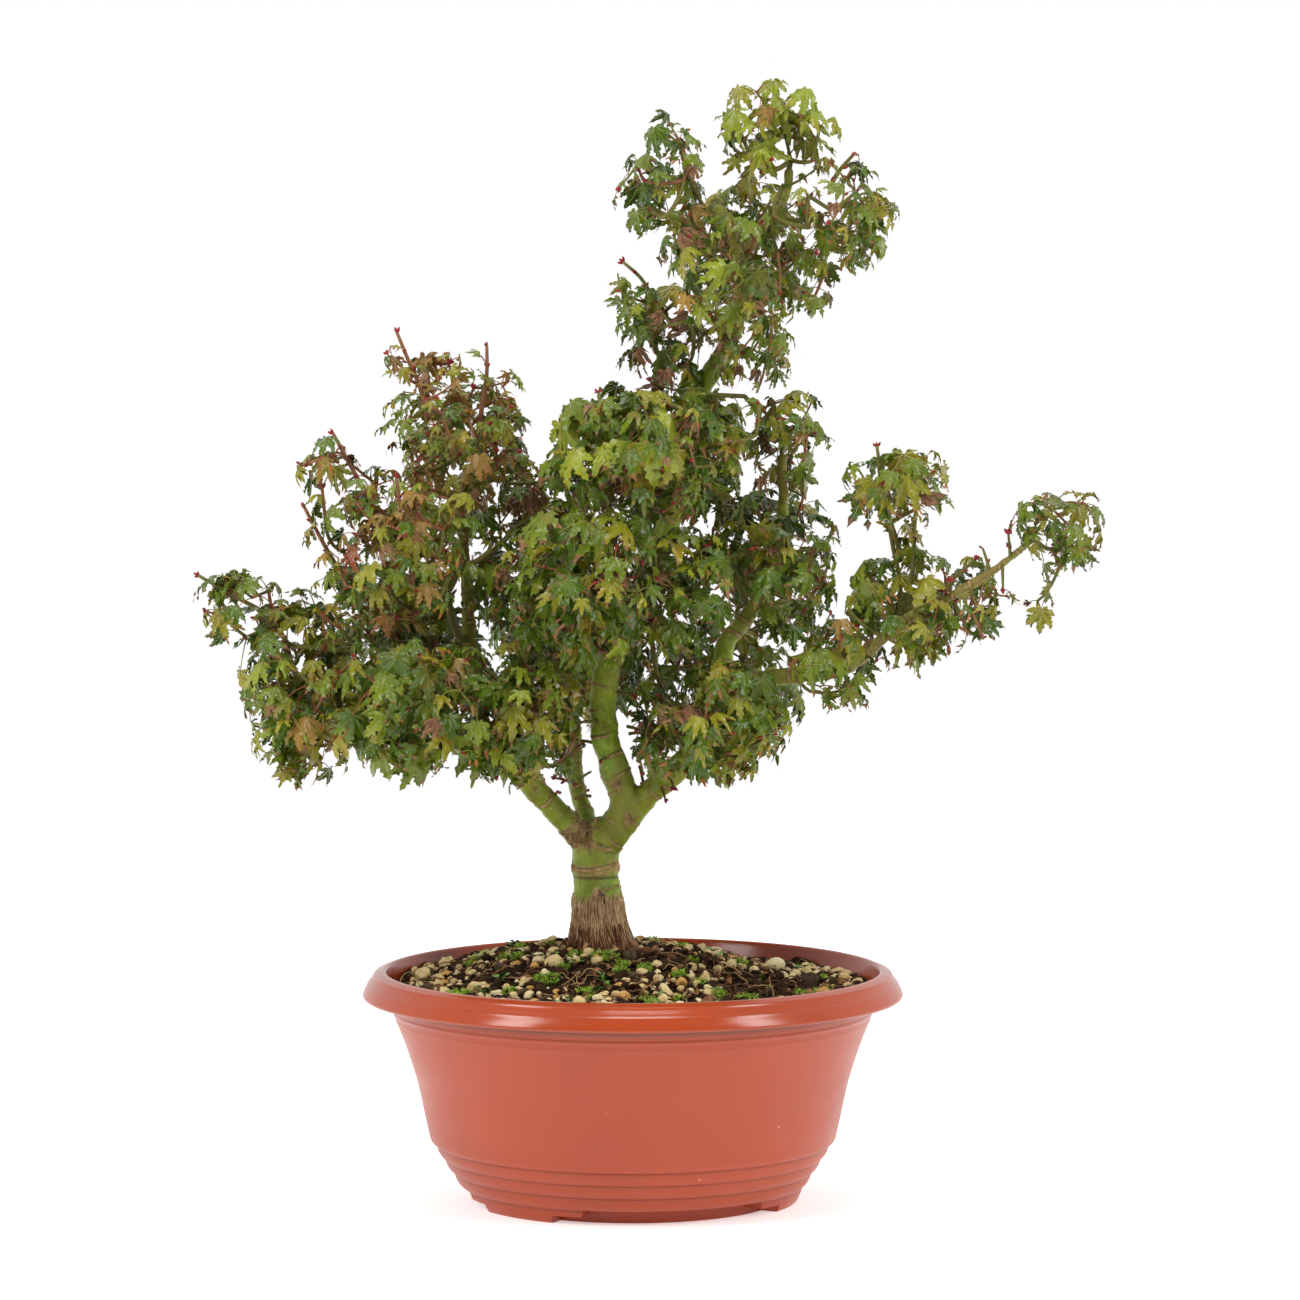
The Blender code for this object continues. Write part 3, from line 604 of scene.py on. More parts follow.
def buildPot():
    points, faces = turnedMesh(potProfile(), pot["steps"])
    mesh = meshFrom("potShell", points, faces, smooth=False)
    faceOutwards(mesh)
    item = addPiece("potShell", mesh, potFinish(), ("pot",))
    cutters = [footCutter(number) for number in range(pot["gaps"])]
    for cutter in cutters:
        cut = item.modifiers.new("cut", "BOOLEAN")
        cut.operation = "DIFFERENCE"
        cut.solver = "EXACT"
        cut.object = cutter
    finished = appliedMesh(item)
    item.modifiers.clear()
    item.data = finished
    for cutter in cutters:
        bpy.data.objects.remove(cutter)
    places = vertexValues(finished, "co") / mm
    reach = np.hypot(places[:, 0], places[:, 1])
    inner = (places[:, 2] > pot["insideAbove"]) & (reach < pot["insideWithin"])
    # painted shade, darkest at each listed height: under the lip, at the neck lines and in the band grooves,
    # on the outside only
    paintedShade = np.zeros(len(places))
    for height, width, strength in pot["paintedShadeLines"]:
        paintedShade = np.maximum(paintedShade, strength * np.exp(-((places[:, 2] - height) / width) ** 2))
    storeMask(finished, "paintedShade", paintedShade * (reach > pot["paintedShadeFrom"]) * ~inner)
    finished.shade_smooth()
    finished.set_sharp_from_angle(angle=math.radians(pot["sharpAngle"]))


buildPot()
say("pot")

# Soil: a mound of dark crumbs with pebbles, moss, dead bits of leaf and fine roots

soil = {
    "edgeHeight": 110.0, "topHeight": 126.3, "plateau": 24.0, "reach": 92.0, "radius": 123.6, "depth": 106.0,
    "trunkX": -16.0, "trunkY": 20.0, "trunkRoom": 17.0, "mossRoom": 13.0, "rings": 74, "steps": 190,
    "relief": 1.7,
    "bumps": ((0.55, 26.0, 5), (0.45, 9.0, 6), (0.3, 4.0, 7)),  # share, size and seed of each relief
    "pebbles": 1050, "pebbleSize": (1.9, 3.7), "stones": 18, "stoneSize": (3.8, 5.4), "clods": 420,
    "crowding": (0.48, 0.76), "crowdSize": 60.0, "pebbleTries": 12, "pebbleRoom": 0.84, "rootsWithin": 120.0,
    "clodSize": (1.8, 4.4), "crumbs": 5200, "crumbSize": (0.6, 2.2), "flecks": 900,
    "scraps": 260, "scrapSize": (3.0, 9.5), "scrapRows": 5, "roots": 360, "rootLength": (6.0, 24.0),
    "sprouts": 26,
    "mossTufts": 42, "mossBlades": 105,
    "mossPlaces": (  # the larger tufts
        (-24, -66), (-6, -38), (-58, -92), (58, -62), (44, -58), (-28, -22), (-14, -14), (10, -84),
        (-88, -52),
        (-30, -8), (-62, -58), (24, -34), (86, -40), (-44, -44)),
    "earth": (tone(70, 49, 32), tone(27, 18, 12)), "moss": (tone(176, 204, 76), tone(92, 132, 34)),
    "paleCrumb": (tone(158, 128, 92), tone(92, 66, 42)), "scrap": (tone(150, 104, 66), tone(82, 52, 32)),
    "sprout": (tone(112, 156, 52), tone(72, 116, 34)),
    "rootTones": {
        "rootBrown": (tone(128, 86, 54), tone(70, 44, 28)),
        "rootPale": (tone(190, 152, 106), tone(128, 94, 60))},
    "pebbleTones": (  # share, light tone and dark tone
        ("pebblesTan", 0.48, tone(234, 212, 158), tone(176, 146, 92)),
        ("pebblesPale", 0.28, tone(236, 220, 178), tone(194, 172, 122)),
        ("pebblesOchre", 0.11, tone(220, 170, 98), tone(168, 122, 68)),
        ("pebblesDark", 0.11, tone(96, 78, 58), tone(40, 32, 24))),
    "rootPieces": (  # radius and way points of the few roots that show at the trunk's foot
        ("rootBrown", 2.7, ((-2, 6, 127.0), (6, 2, 127.8), (14, -1, 127.2), (22, -4, 124.5))),
        ("rootPale", 0.75, ((-24, 2, 132.0), (-25, -2, 129.0), (-22, -7, 127.2), (-17, -12, 126.2))),
        ("rootPale", 0.65, ((-10, 2, 131.0), (-8, -3, 128.6), (-9, -9, 127.0), (-4, -14, 126.0)))),
}


def soilHeight(x, y):
    away = np.hypot(x - soil["trunkX"], y - soil["trunkY"])
    rise = np.maximum(0.0, 1.0 - np.maximum(0.0, away - soil["plateau"]) / soil["reach"])
    return soil["edgeHeight"] + (soil["topHeight"] - soil["edgeHeight"]) * rise * rise * (3.0 - 2.0 * rise)


def groundAt(x, y):
    return float(soilHeight(x, y))


def soilRelief(points):
    return soil["relief"] * sum(share * ripple(points, size, seed) for share, size, seed in soil["bumps"])


def buildSoilBed():
    angles = np.arange(soil["steps"]) * 2 * math.pi / soil["steps"]
    rings = []
    for radius in np.linspace(1.6, soil["radius"], soil["rings"]):
        flat = np.stack([radius * np.cos(angles), radius * np.sin(angles), np.zeros(len(angles))], axis=1)
        share = min(1.0, (soil["radius"] - radius) / 3 + 0.25)
        flat[:, 2] = soilHeight(flat[:, 0], flat[:, 1]) + soilRelief(flat) * share
        rings.append(flat)
    depth = np.full(len(angles), soil["depth"])
    for radius in (soil["radius"] - 1.6, soil["radius"] - 4.0):
        rings.append(np.stack([radius * np.cos(angles), radius * np.sin(angles), depth], axis=1))
    points = np.vstack(rings + [np.array([[0, 0, groundAt(0.0, 0.0)], [0, 0, soil["depth"]]])])
    here = np.arange(soil["steps"])
    there = (here + 1) % soil["steps"]
    faces = []
    for number in range(len(rings) - 1):
        low = number * soil["steps"]
        high = low + soil["steps"]
        faces.append(np.stack([low + here, high + here, high + there], axis=1))
        faces.append(np.stack([low + here, high + there, low + there], axis=1))
    last = (len(rings) - 1) * soil["steps"]
    faces.append(np.stack([np.full(len(here), len(points) - 2), here, there], axis=1))
    faces.append(np.stack([np.full(len(here), len(points) - 1), last + there, last + here], axis=1))
    heap = newHeap()
    pile(heap, points, np.vstack(faces))
    earth = plainFinish("darkEarth", *soil["earth"], 0.95, patchScale=90.0, fleckScale=700.0,
                        bump=0.8, bumpScale=700.0, depth=0.0012, Specular_IOR_Level=0.1)
    heapPiece("soilBed", heap, earth, ("soil",))
    return earth


def spotOnSoil(rng, widest=119.0):
    # a random point of the bed, off the trunk
    while True:
        radius = widest * math.sqrt(rng.random())
        turn = rng.uniform(0, 2 * math.pi)
        x = radius * math.cos(turn)
        y = radius * math.sin(turn)
        if math.hypot(x - soil["trunkX"], y - soil["trunkY"]) > soil["trunkRoom"]:
            return x, y


def lumpAt(rng, ball, size, place, flatness=0.75, cuts=3, depth=0.7):
    # a lump: a ball squeezed, dented or cut at random and turned
    points, faces = ball
    squeeze = [rng.uniform(0.75, 1.3), rng.uniform(0.7, 1.05), rng.uniform(flatness - 0.2, flatness + 0.15)]
    shape = points * np.array(squeeze)
    for _ in range(cuts):
        way = randomUnit(rng)
        shape = shape - np.clip(shape @ way - rng.uniform(0.35, 0.75), 0.0, None)[:, None] * way * depth
    return shape @ tumble(rng).T * size + np.array(place), faces


def scatterPebbles():
    # a few stones and many pebbles, in drifts, none of which overlap
    rng = random.Random(71)
    ball = ballArrays(3)
    small = ballArrays(2)
    taken = np.zeros((0, 3))
    names = [row[0] for row in soil["pebbleTones"]]
    shares = [row[1] for row in soil["pebbleTones"]]
    heaps = {name: newHeap() for name in names}
    least, growing = soil["crowding"]
    for number in range(soil["pebbles"] + soil["stones"]):
        stone = number < soil["stones"]
        if stone:
            size = rng.uniform(*soil["stoneSize"])
        else:
            size = rng.uniform(*soil["pebbleSize"]) * rng.choice((1.0, 1.0, 0.7))
        for _ in range(soil["pebbleTries"]):
            x, y = spotOnSoil(rng, 116.0 if stone else 119.0)
            crowd = float(ripple(np.array([[x, y, 0.0]]), soil["crowdSize"], 9)[0])
            if not stone and rng.random() > least + growing * crowd:
                continue
            room = (taken[:, 2] + size) * soil["pebbleRoom"]
            if (np.hypot(taken[:, 0] - x, taken[:, 1] - y) < room).any():
                continue
            break
        else:
            continue
        taken = np.vstack([taken, [x, y, size]])
        place = (x, y, groundAt(x, y) + size * rng.uniform(0.2, 0.7))
        points, faces = lumpAt(rng, ball if stone or size > 3.0 else small, size, place, 0.85, cuts=4,
                               depth=0.7)
        points = points + ripple(points, size * 1.1, number, 5)[:, None] * (points - np.array(place)) * 0.07
        pile(heaps[rng.choices(names, shares)[0]], points, faces)
    for name, _, light, dark in soil["pebbleTones"]:
        finish = plainFinish(name + "Stone", light, dark, 0.85, patchScale=170.0, fleckScale=900.0,
                             contrast=0.14,
                             bump=0.6, bumpScale=1300.0, depth=0.0007, Specular_IOR_Level=0.15)
        heapPiece(name, heaps[name], finish)


def scatterCrumbs(earth):
    # jagged clods and crumbs of earth, and pale flecks among them
    rng = random.Random(72)
    balls = (ballArrays(1), ballArrays(2))
    dark = newHeap()
    pale = newHeap()
    earthy = soil["crumbs"] + soil["clods"]
    for number in range(earthy + soil["flecks"]):
        x, y = spotOnSoil(rng, 121.5)
        clod = number < soil["clods"]
        if clod:
            size = rng.uniform(*soil["clodSize"])
            lift = rng.uniform(0.0, 0.5)
        else:
            size = rng.uniform(*soil["crumbSize"]) * rng.choice((1.0, 0.7, 0.6))
            lift = rng.uniform(0.2, 1.3)
        place = (x, y, groundAt(x, y) + size * lift)
        points, faces = lumpAt(rng, balls[1 if clod else 0], size, place, 0.8, cuts=4)
        jag = np.array([[rng.uniform(-0.2, 0.2) for _ in range(3)] for _ in range(len(points))]) * size
        pile(dark if number < earthy else pale, points + jag * (0.6 if clod else 1.0), faces)
    heapPiece("crumbs", dark, earth, smooth=False)
    tan = plainFinish("paleCrumb", *soil["paleCrumb"], 0.9, patchScale=220.0, contrast=0.1,
                      Specular_IOR_Level=0.15)
    heapPiece("paleCrumbs", pale, tan, smooth=False)


def scatterScraps():
    # curled scraps of dead leaf that lie on the soil
    rng = random.Random(75)
    heap = newHeap()
    rows = soil["scrapRows"]
    faces = []
    for low in [row * 3 + part for row in range(rows) for part in range(2)]:
        faces += [(low, low + 3, low + 4), (low, low + 4, low + 1)]
    faces = np.array(faces)
    for _ in range(soil["scraps"]):
        x, y = spotOnSoil(rng, 117.0)
        length = rng.uniform(*soil["scrapSize"])
        width = length * rng.uniform(0.22, 0.5)
        curl = rng.uniform(0.6, 2.4)
        axes = tumble(rng)
        points = []
        for row in range(rows + 1):
            t = row / rows
            half = width * math.sin(math.pi * (0.12 + 0.8 * t)) * rng.uniform(0.7, 1.1)
            bend = curl * (t - 0.5)
            for part in (-1.0, 0.0, 1.0):
                rise = length / curl * (math.cos(bend) - 1.0) + abs(part) * half * 0.6
                aside = half * part + rng.uniform(-0.2, 0.2)
                points.append((length / curl * math.sin(bend), aside, -rise if curl > 1.5 else rise))
        pile(heap, np.array(points) @ axes.T + np.array([x, y, groundAt(x, y) + 1.6]), faces)
    brown = plainFinish("deadScrap", *soil["scrap"], 0.75, patchScale=160.0, contrast=0.15,
                        Specular_IOR_Level=0.2)
    heapPiece("leafScraps", heap, brown)


def bladeArrays(root, way, length, width, bend, rng):
    # a narrow pointed blade of three joints that bends over
    along = unit(way)
    side = unit(np.cross(along, randomUnit(rng)))
    fall = unit(np.array([along[0], along[1], 0.0]) + 1e-6)
    middle = root + along * length * 0.55 + fall * bend * length * 0.15
    tip = root + along * length * 0.95 + fall * bend * length * 0.5
    points = np.array([root - side * width * 0.3, root + side * width * 0.3, middle - side * width * 0.5,
                       middle + side * width * 0.5, tip])
    return points, np.array([(0, 1, 3), (0, 3, 2), (2, 3, 4)])


def growMoss():
    # round tufts of short branched blades, the larger ones at their own places
    rng = random.Random(73)
    heap = newHeap()
    chosen = list(soil["mossPlaces"])
    named = len(chosen)
    while len(chosen) < soil["mossTufts"]:
        chosen.append(spotOnSoil(rng, 112.0))
    for number, (x, y) in enumerate(chosen):
        wide = rng.uniform(3.0, 8.5) if number < named else rng.uniform(1.4, 4.2)
        for _ in range(int(soil["mossBlades"] * wide / 5)):
            away = wide * rng.random() ** 0.65
            turn = anyTurn(rng)
            px = x + away * math.cos(turn)
            py = y + away * math.sin(turn)
            fromTrunk = math.hypot(px - soil["trunkX"], py - soil["trunkY"])
            if math.hypot(px, py) > 121.0 or fromTrunk < soil["mossRoom"]:
                continue
            crown = 1.0 - (away / wide) ** 2 * 0.6
            root = np.array([px, py, groundAt(px, py) + 0.6])
            way = np.array([rng.gauss(0, 0.5), rng.gauss(0, 0.5), 1.0])
            length = rng.uniform(2.0, 4.8) * crown + 0.8
            pile(heap, *bladeArrays(root, way, length, 0.7, rng.uniform(0.2, 0.9), rng))
            for _ in range(2):
                out = np.array([rng.gauss(0, 1), rng.gauss(0, 1), rng.uniform(0.2, 0.8)])
                top = root + unit(way) * length * rng.uniform(0.5, 0.95)
                pile(heap, *bladeArrays(top, out, rng.uniform(0.9, 1.8), 0.55, 0.3, rng))
    green = plainFinish("mossGreen", *soil["moss"], 0.7, patchScale=120.0, bump=0.1, Specular_IOR_Level=0.2)
    heapPiece("moss", heap, green)


def growSprouts():
    # tiny weeds: a few round leaves on short stalks
    rng = random.Random(76)
    heap = newHeap()
    for _ in range(soil["sprouts"]):
        x, y = spotOnSoil(rng, 112.0)
        root = np.array([x, y, groundAt(x, y) + 1.0])
        for _ in range(rng.randint(3, 7)):
            way = unit(np.array([rng.gauss(0, 0.8), rng.gauss(0, 0.8), 1.0]))
            top = root + way * rng.uniform(2.0, 5.0)
            stalk = np.array([root, (root + top) / 2 + way * 0.2, top])
            pile(heap, *tubeArrays(stalk, np.array([0.2, 0.17, 0.15]), 3))
            axes = leafAxes(rng, np.array([way[0], way[1], 0.2]), np.array([0, 0, 1.0]))
            size = rng.uniform(0.9, 1.9)
            turns = np.arange(7) * 2 * math.pi / 7
            rim = np.stack([np.cos(turns), np.sin(turns) + 0.8, 0.12 * np.cos(2 * turns)], axis=1)
            disc = np.vstack([[0.0, 0.8, -0.1], rim])
            faces = np.array([(0, n + 1, (n + 1) % 7 + 1) for n in range(7)])
            pile(heap, top + disc @ axes * size, faces)
    green = plainFinish("sproutGreen", *soil["sprout"], 0.5, patchScale=150.0)
    heapPiece("sprouts", heap, green)


def scatterRoots():
    # fine dead roots all over the soil, and the few thicker ones at the trunk's foot
    rng = random.Random(74)
    heaps = {name: newHeap() for name in soil["rootTones"]}
    within = soil["rootsWithin"]
    for number in range(soil["roots"]):
        x, y = spotOnSoil(rng, 116.0)
        turn = anyTurn(rng)
        length = rng.uniform(*soil["rootLength"])
        lift = rng.uniform(0.6, 3.2) * (2.2 if number % 12 == 0 else 1.0)
        points = []
        for step in range(7):
            t = step / 6
            px = x + math.cos(turn) * length * (t - 0.5)
            py = y + math.sin(turn) * length * (t - 0.5)
            reach = math.hypot(px, py)
            if reach > within:
                px *= within / reach
                py *= within / reach
            turn += rng.uniform(-0.45, 0.45)
            points.append((px, py, groundAt(px, py) + 1.4 + lift * math.sin(math.pi * t)))
        radius = rng.uniform(0.18, 0.5)
        pile(heaps["rootPale" if number % 3 == 0 else "rootBrown"],
             *tubeArrays(np.array(points), np.linspace(radius, radius * 0.5, 7), 4))
    for name, radius, points in soil["rootPieces"]:
        route = smoothRoute([(*point, 0.0) for point in points], 1.2)[:, :3]
        radii = radius * (1.0 + 0.22 * ripple(route, 4.0, 3)) * np.linspace(1.0, 0.55, len(route))
        pile(heaps[name], *tubeArrays(route, radii, 9))
    for name, tones in soil["rootTones"].items():
        finish = plainFinish(name + "Bark", *tones, 0.8, patchScale=200.0, bump=0.5, Specular_IOR_Level=0.2)
        heapPiece(name, heaps[name], finish)


earthFinish = buildSoilBed()
scatterPebbles()
scatterCrumbs(earthFinish)
scatterScraps()
growMoss()
growSprouts()
scatterRoots()
say("soil")

# Limbs: way points (x, y, z, radius) from root to tip, each limb after the one it grows from

limbs = {
    "trunk": (
        (-16, 20, 126.6, 19.0), (-16, 20, 129.5, 17.4), (-17.3, 20, 138, 14.4), (-18, 19.5, 152, 12.6),
        (-19.3, 19, 168, 11.7), (-19, 18.5, 183, 12.2), (-17, 18, 190, 11.0), (-16, 18, 194, 7.5)),
    "leader": (
        (-16, 18, 182, 8.6), (-4.5, 13, 202, 8.2), (-9.5, 8, 222, 7.6), (-15, 6, 242, 6.9),
        (-15, 8, 263, 6.8),
        (-11, 12, 281, 6.7), (1, 18, 301, 6.5), (19, 26, 350, 6.2), (29, 24, 391, 5.8), (35, 20, 417, 5.5),
        (48, 16, 438, 5.0), (55, 12, 463, 4.4), (54, 9, 489, 3.6), (43, 7, 511, 2.6)),
    "right_bough": (
        (-16, 18, 178, 7.6), (5, 10, 206, 6.7), (21, 2, 221, 6.4), (38, -4, 240, 6.2), (45, -7, 256, 6.0),
        (47, 0, 286, 5.0), (56, 5, 297, 4.4), (70, 13, 320, 3.8), (77, 17, 350, 3.0), (77, 20, 383, 2.2)),
    "left_bough": (
        (-19, 18, 178, 7.4), (-43, 8, 204, 6.2), (-58, -2, 220, 5.8), (-79, -12, 238, 5.2),
        (-103, -18, 246, 4.4), (-124, -22, 253, 3.4)),
    "back_bough": ((-19, 22, 180, 5.6), (-29, 48, 207, 4.4), (-31, 64, 224, 4.0), (-32, 98, 258, 3.2)),
    "lower_right_bough": (
        (45, -6, 258, 4.8), (57, -14, 268, 4.6), (80, -24, 273, 4.3), (106, -33, 277, 3.9),
        (124, -38, 290, 3.3)),
    "far_right_shoot": (
        (120, -36, 286, 2.8), (135, -43, 301, 2.7), (160, -51, 315, 2.4), (179, -57, 327, 2.2),
        (198, -61, 342, 1.8)),
    "left_riser": (
        (-70, -8, 231, 4.0), (-80, 1, 258, 3.8), (-84, 9, 289, 3.5), (-86, 13, 324, 3.1),
        (-89, 14, 358, 2.5)),
    "top_shoot": ((54, 10, 480, 3.2), (65, 9, 500, 2.9), (78, 8, 517, 2.5), (80, 8, 530, 2.1)),
}

bark = {
    "step": 4.0, "sides": 20, "voxel": 0.78, "smoothing": 7, "batch": 20000,
    "ringGap": (7.0, 19.0), "ringHeight": (0.3, 0.7), "ringWidth": (0.45, 0.8), "lump": 0.35,
    "footTop": 156.5, "footBlend": 2.6, "footRelief": 0.8, "collarAt": 169.5,
    "scabs": (  # places where the bark is brown, scabby and torn
        (-30, 10, 187, 9), (-22, 6, 198, 7), (-12, 12, 262, 6), (42, -10, 232, 5), (-24, 5, 184, 6),
        (-2, 3, 195, 5), (-9, 2, 214, 4), (18, -6, 222, 4), (-26, 8, 192, 8), (-18, 4, 203, 5)),
    "green": (tone(168, 192, 52), tone(106, 136, 32)), "olive": tone(126, 106, 54),
    "scar": (tone(206, 170, 122), tone(124, 86, 54)),
    "foot": (tone(226, 194, 152), tone(150, 112, 78)), "base": tone(112, 72, 47), "dark": tone(50, 31, 21),
    "layers": (("green", 55.0, 500.0, 0.17), ("scar", 260.0, 900.0, 0.16), ("foot", 120.0, 700.0, 0.14)),
    "strands": (  # how many, the heights that they hang from, and their tones
        ("fibresLight", 900, (137.0, 157.0), tone(232, 200, 156), tone(176, 138, 98)),
        ("fibresDark", 1100, (128.0, 143.0), tone(150, 100, 66), tone(84, 52, 34))),
}
fineRoutes = {name: smoothRoute(points, bark["step"]) for name, points in limbs.items()}


def fuseLimbs():
    # all limbs as overlapping tubes, melted into one skin
    heap = newHeap()
    for route in fineRoutes.values():
        pile(heap, *tubeArrays(route[:, :3], route[:, 3], bark["sides"]))
    item = newItem("limbs", meshFrom("limbs", np.vstack(heap["points"]), np.vstack(heap["faces"])))
    remesh = item.modifiers.new("melt", "REMESH")
    remesh.mode = "VOXEL"
    remesh.voxel_size = bark["voxel"] * mm
    soften = item.modifiers.new("soften", "SMOOTH")
    soften.factor = 0.5
    soften.iterations = bark["smoothing"]
    skin = appliedMesh(item)
    bpy.data.objects.remove(item)
    return skin


def nearestLimb(points):
    # for every point its limb, how far along that it lies, at what angle, and the limb's radius there
    names = list(fineRoutes)
    best = np.full(len(points), 1e9)
    owner = np.zeros(len(points), dtype=int)
    along = np.zeros(len(points))
    angle = np.zeros(len(points))
    thick = np.zeros(len(points))
    for number, name in enumerate(names):
        route = fineRoutes[name]
        start = route[:-1, :3]
        span = route[1:, :3] - start
        lengths = np.linalg.norm(span, axis=1)
        before = np.concatenate([[0.0], np.cumsum(lengths)[:-1]])
        for low in range(0, len(points), bark["batch"]):
            part = points[low:low + bark["batch"]]
            offset = part[:, None, :] - start[None]
            share = np.clip((offset * span[None]).sum(axis=2) / (lengths ** 2)[None], 0.0, 1.0)
            nearest = offset - share[..., None] * span[None]
            radius = route[:-1, 3][None] + share * (route[1:, 3] - route[:-1, 3])[None]
            gap = np.linalg.norm(nearest, axis=2) - radius
            pick = gap.argmin(axis=1)
            rows = np.arange(len(part))
            here = gap[rows, pick]
            closer = here < best[low:low + len(part)]
            index = np.arange(low, low + len(part))[closer]
            best[index] = here[closer]
            owner[index] = number
            thick[index] = radius[rows, pick][closer]
            along[index] = (before[pick] + share[rows, pick] * lengths[pick])[closer]
            out = nearest[rows, pick][closer]
            heading = span[pick][closer] / lengths[pick][closer][:, None]
            side = np.cross(heading, np.array([0.2, 0.95, 0.1]))
            side /= np.linalg.norm(side, axis=1)[:, None]
            other = np.cross(heading, side)
            angle[index] = np.arctan2((out * other).sum(axis=1), (out * side).sum(axis=1))
    return names, owner, along, angle, thick


def barkRelief(points, names, owner, along, angle):
    # how far the bark stands out, and the masks of its scars, their dark edges and its old fibrous foot
    rng = random.Random(31)
    relief = bark["lump"] * ripple(points, 11.0, 21) + 0.14 * ripple(points, 3.6, 22)
    scar = np.zeros(len(points))
    edge = np.zeros(len(points))
    for number, name in enumerate(names):
        mine = owner == number
        length = float(np.linalg.norm(np.diff(fineRoutes[name][:, :3], axis=0), axis=1).sum())
        spot = rng.uniform(3.0, 9.0)
        thin = fineRoutes[name][:, 3].mean() / 6.0
        while spot < length:
            height = rng.uniform(*bark["ringHeight"]) * min(1.0, thin + 0.3)
            width = rng.uniform(*bark["ringWidth"])
            wave = rng.uniform(0.4, 1.9) * np.cos(angle[mine] - anyTurn(rng))
            wave += 0.5 * np.cos(2 * angle[mine] + anyTurn(rng))
            off = (along[mine] - spot - wave) / width
            breaks = np.cos(angle[mine] * rng.choice((1, 1, 2)) + anyTurn(rng))
            broken = np.clip(0.66 + 0.5 * breaks, 0.0, 1.0)
            ring = np.exp(-off ** 4) * broken
            brink = (np.exp(-((off - 1.6) / 0.6) ** 2) + 0.6 * np.exp(-((off + 1.6) / 0.5) ** 2)) * broken
            relief[mine] += ring * height
            relief[mine] -= brink * height * 0.55
            scar[mine] = np.maximum(scar[mine], softStep(0.25, 0.7, ring))
            edge[mine] = np.maximum(edge[mine], brink * 0.7)
            spot += rng.uniform(*bark["ringGap"])
    for x, y, z, radius in bark["scabs"]:
        away = np.linalg.norm(points - np.array([x, y, z]), axis=1) / radius
        patch = np.clip(1.6 - 1.5 * away + 0.45 * ripple(points, 3.0, 23), 0.0, 1.0)
        relief += patch * (0.4 + 0.5 * ripple(points * np.array([1.0, 1.0, 0.3]), 2.0, 24))
        scar = np.maximum(scar, patch)
        torn = ripple(points * np.array([1.0, 1.0, 0.3]), 2.4, 28)
        tears = 0.38 + 0.3 * softStep(0.2, 1.4, torn) - 0.3 * softStep(0.0, 1.2, -torn)
        edge = np.maximum(edge, patch * tears)
    trunk = owner == names.index("trunk")
    line = bark["footTop"] + 3.6 * np.cos(angle * 3 + 1.0) + 2.0 * np.cos(angle * 7)
    line += 0.24 * (points[:, 0] + 17.0)
    foot = (1.0 - softStep(line - bark["footBlend"], line + 0.6, points[:, 2])) * trunk
    drawn = points * np.array([1.0, 1.0, 0.12])
    shaggy = ripple(drawn, 2.3, 25) * 0.75 + ripple(points, 3.2, 26) * 0.25
    low = 1.0 - softStep(126.0, 150.0, points[:, 2])
    relief += foot * bark["footRelief"] * (0.55 + 0.65 * low) * shaggy
    relief += 0.55 * np.exp(-((points[:, 2] - line + 1.2) / 1.1) ** 2) * trunk
    edge = np.maximum(edge, foot * softStep(0.1, 1.1, -shaggy) * 0.8)
    collar = np.exp(-((points[:, 2] - bark["collarAt"] - 1.3 * np.cos(angle * 2 + 0.6)) / 3.2) ** 4)
    collar *= trunk * np.clip(0.75 + 0.4 * ripple(points, 5.0, 29), 0.0, 1.0)
    relief += collar * (0.9 + 0.35 * ripple(points, 2.2, 30))
    scar = np.maximum(scar, collar)
    edge = np.maximum(edge, np.exp(-((points[:, 2] - bark["collarAt"] + 4.2) / 0.8) ** 2) * 0.8 * trunk)
    return relief, scar, edge, foot


def barkFinish(name):
    material, tree, shader = newFinish(name, 0.5, Specular_IOR_Level=0.25)
    layers = {}
    for key, patches, flecks, contrast in bark["layers"]:
        light, dark = bark[key]
        layer = filled(tree, mottle, {"Light Colour": light, "Dark Colour": dark, "Patch Scale": patches,
                                      "Fleck Scale": flecks, "Contrast": contrast})
        layers[key] = layer.outputs["Colour"]
    dots = filled(tree, specks, {"Scale": 430.0, "Share": 0.22, "Size": 0.24}).outputs["Mask"]
    streak = filled(tree, grain, {"Scale": 300.0, "Stretch": 0.14}).outputs["Height"]
    masks = {key: addNode(tree, "ShaderNodeAttribute", attribute_name=key).outputs["Fac"]
             for key in ("scar", "edge", "foot", "shade", "olive")}
    colour = layers["green"]
    for mask, over in (
            (ramp(tree, streak, 0.48, 0.64, toHigh=0.5), bark["olive"]), (masks["olive"], bark["olive"]),
            (dots, bark["scar"][0]), (masks["scar"], layers["scar"]), (masks["foot"], layers["foot"]),
            (masks["edge"], bark["dark"]), (masks["shade"], bark["base"])):
        colour = mixColours(tree, mask, colour, over)
    dry = combined(tree, "MAXIMUM", masks["scar"], masks["foot"])
    setInputs(tree, shader, {"Base Color": colour, "Roughness": spread(tree, dry, 0.42, 0.88)})
    fine = filled(tree, grain, {"Scale": 620.0, "Stretch": 0.3})
    addBump(tree, shader, fine.outputs["Height"], 0.5, 0.0006)
    return material


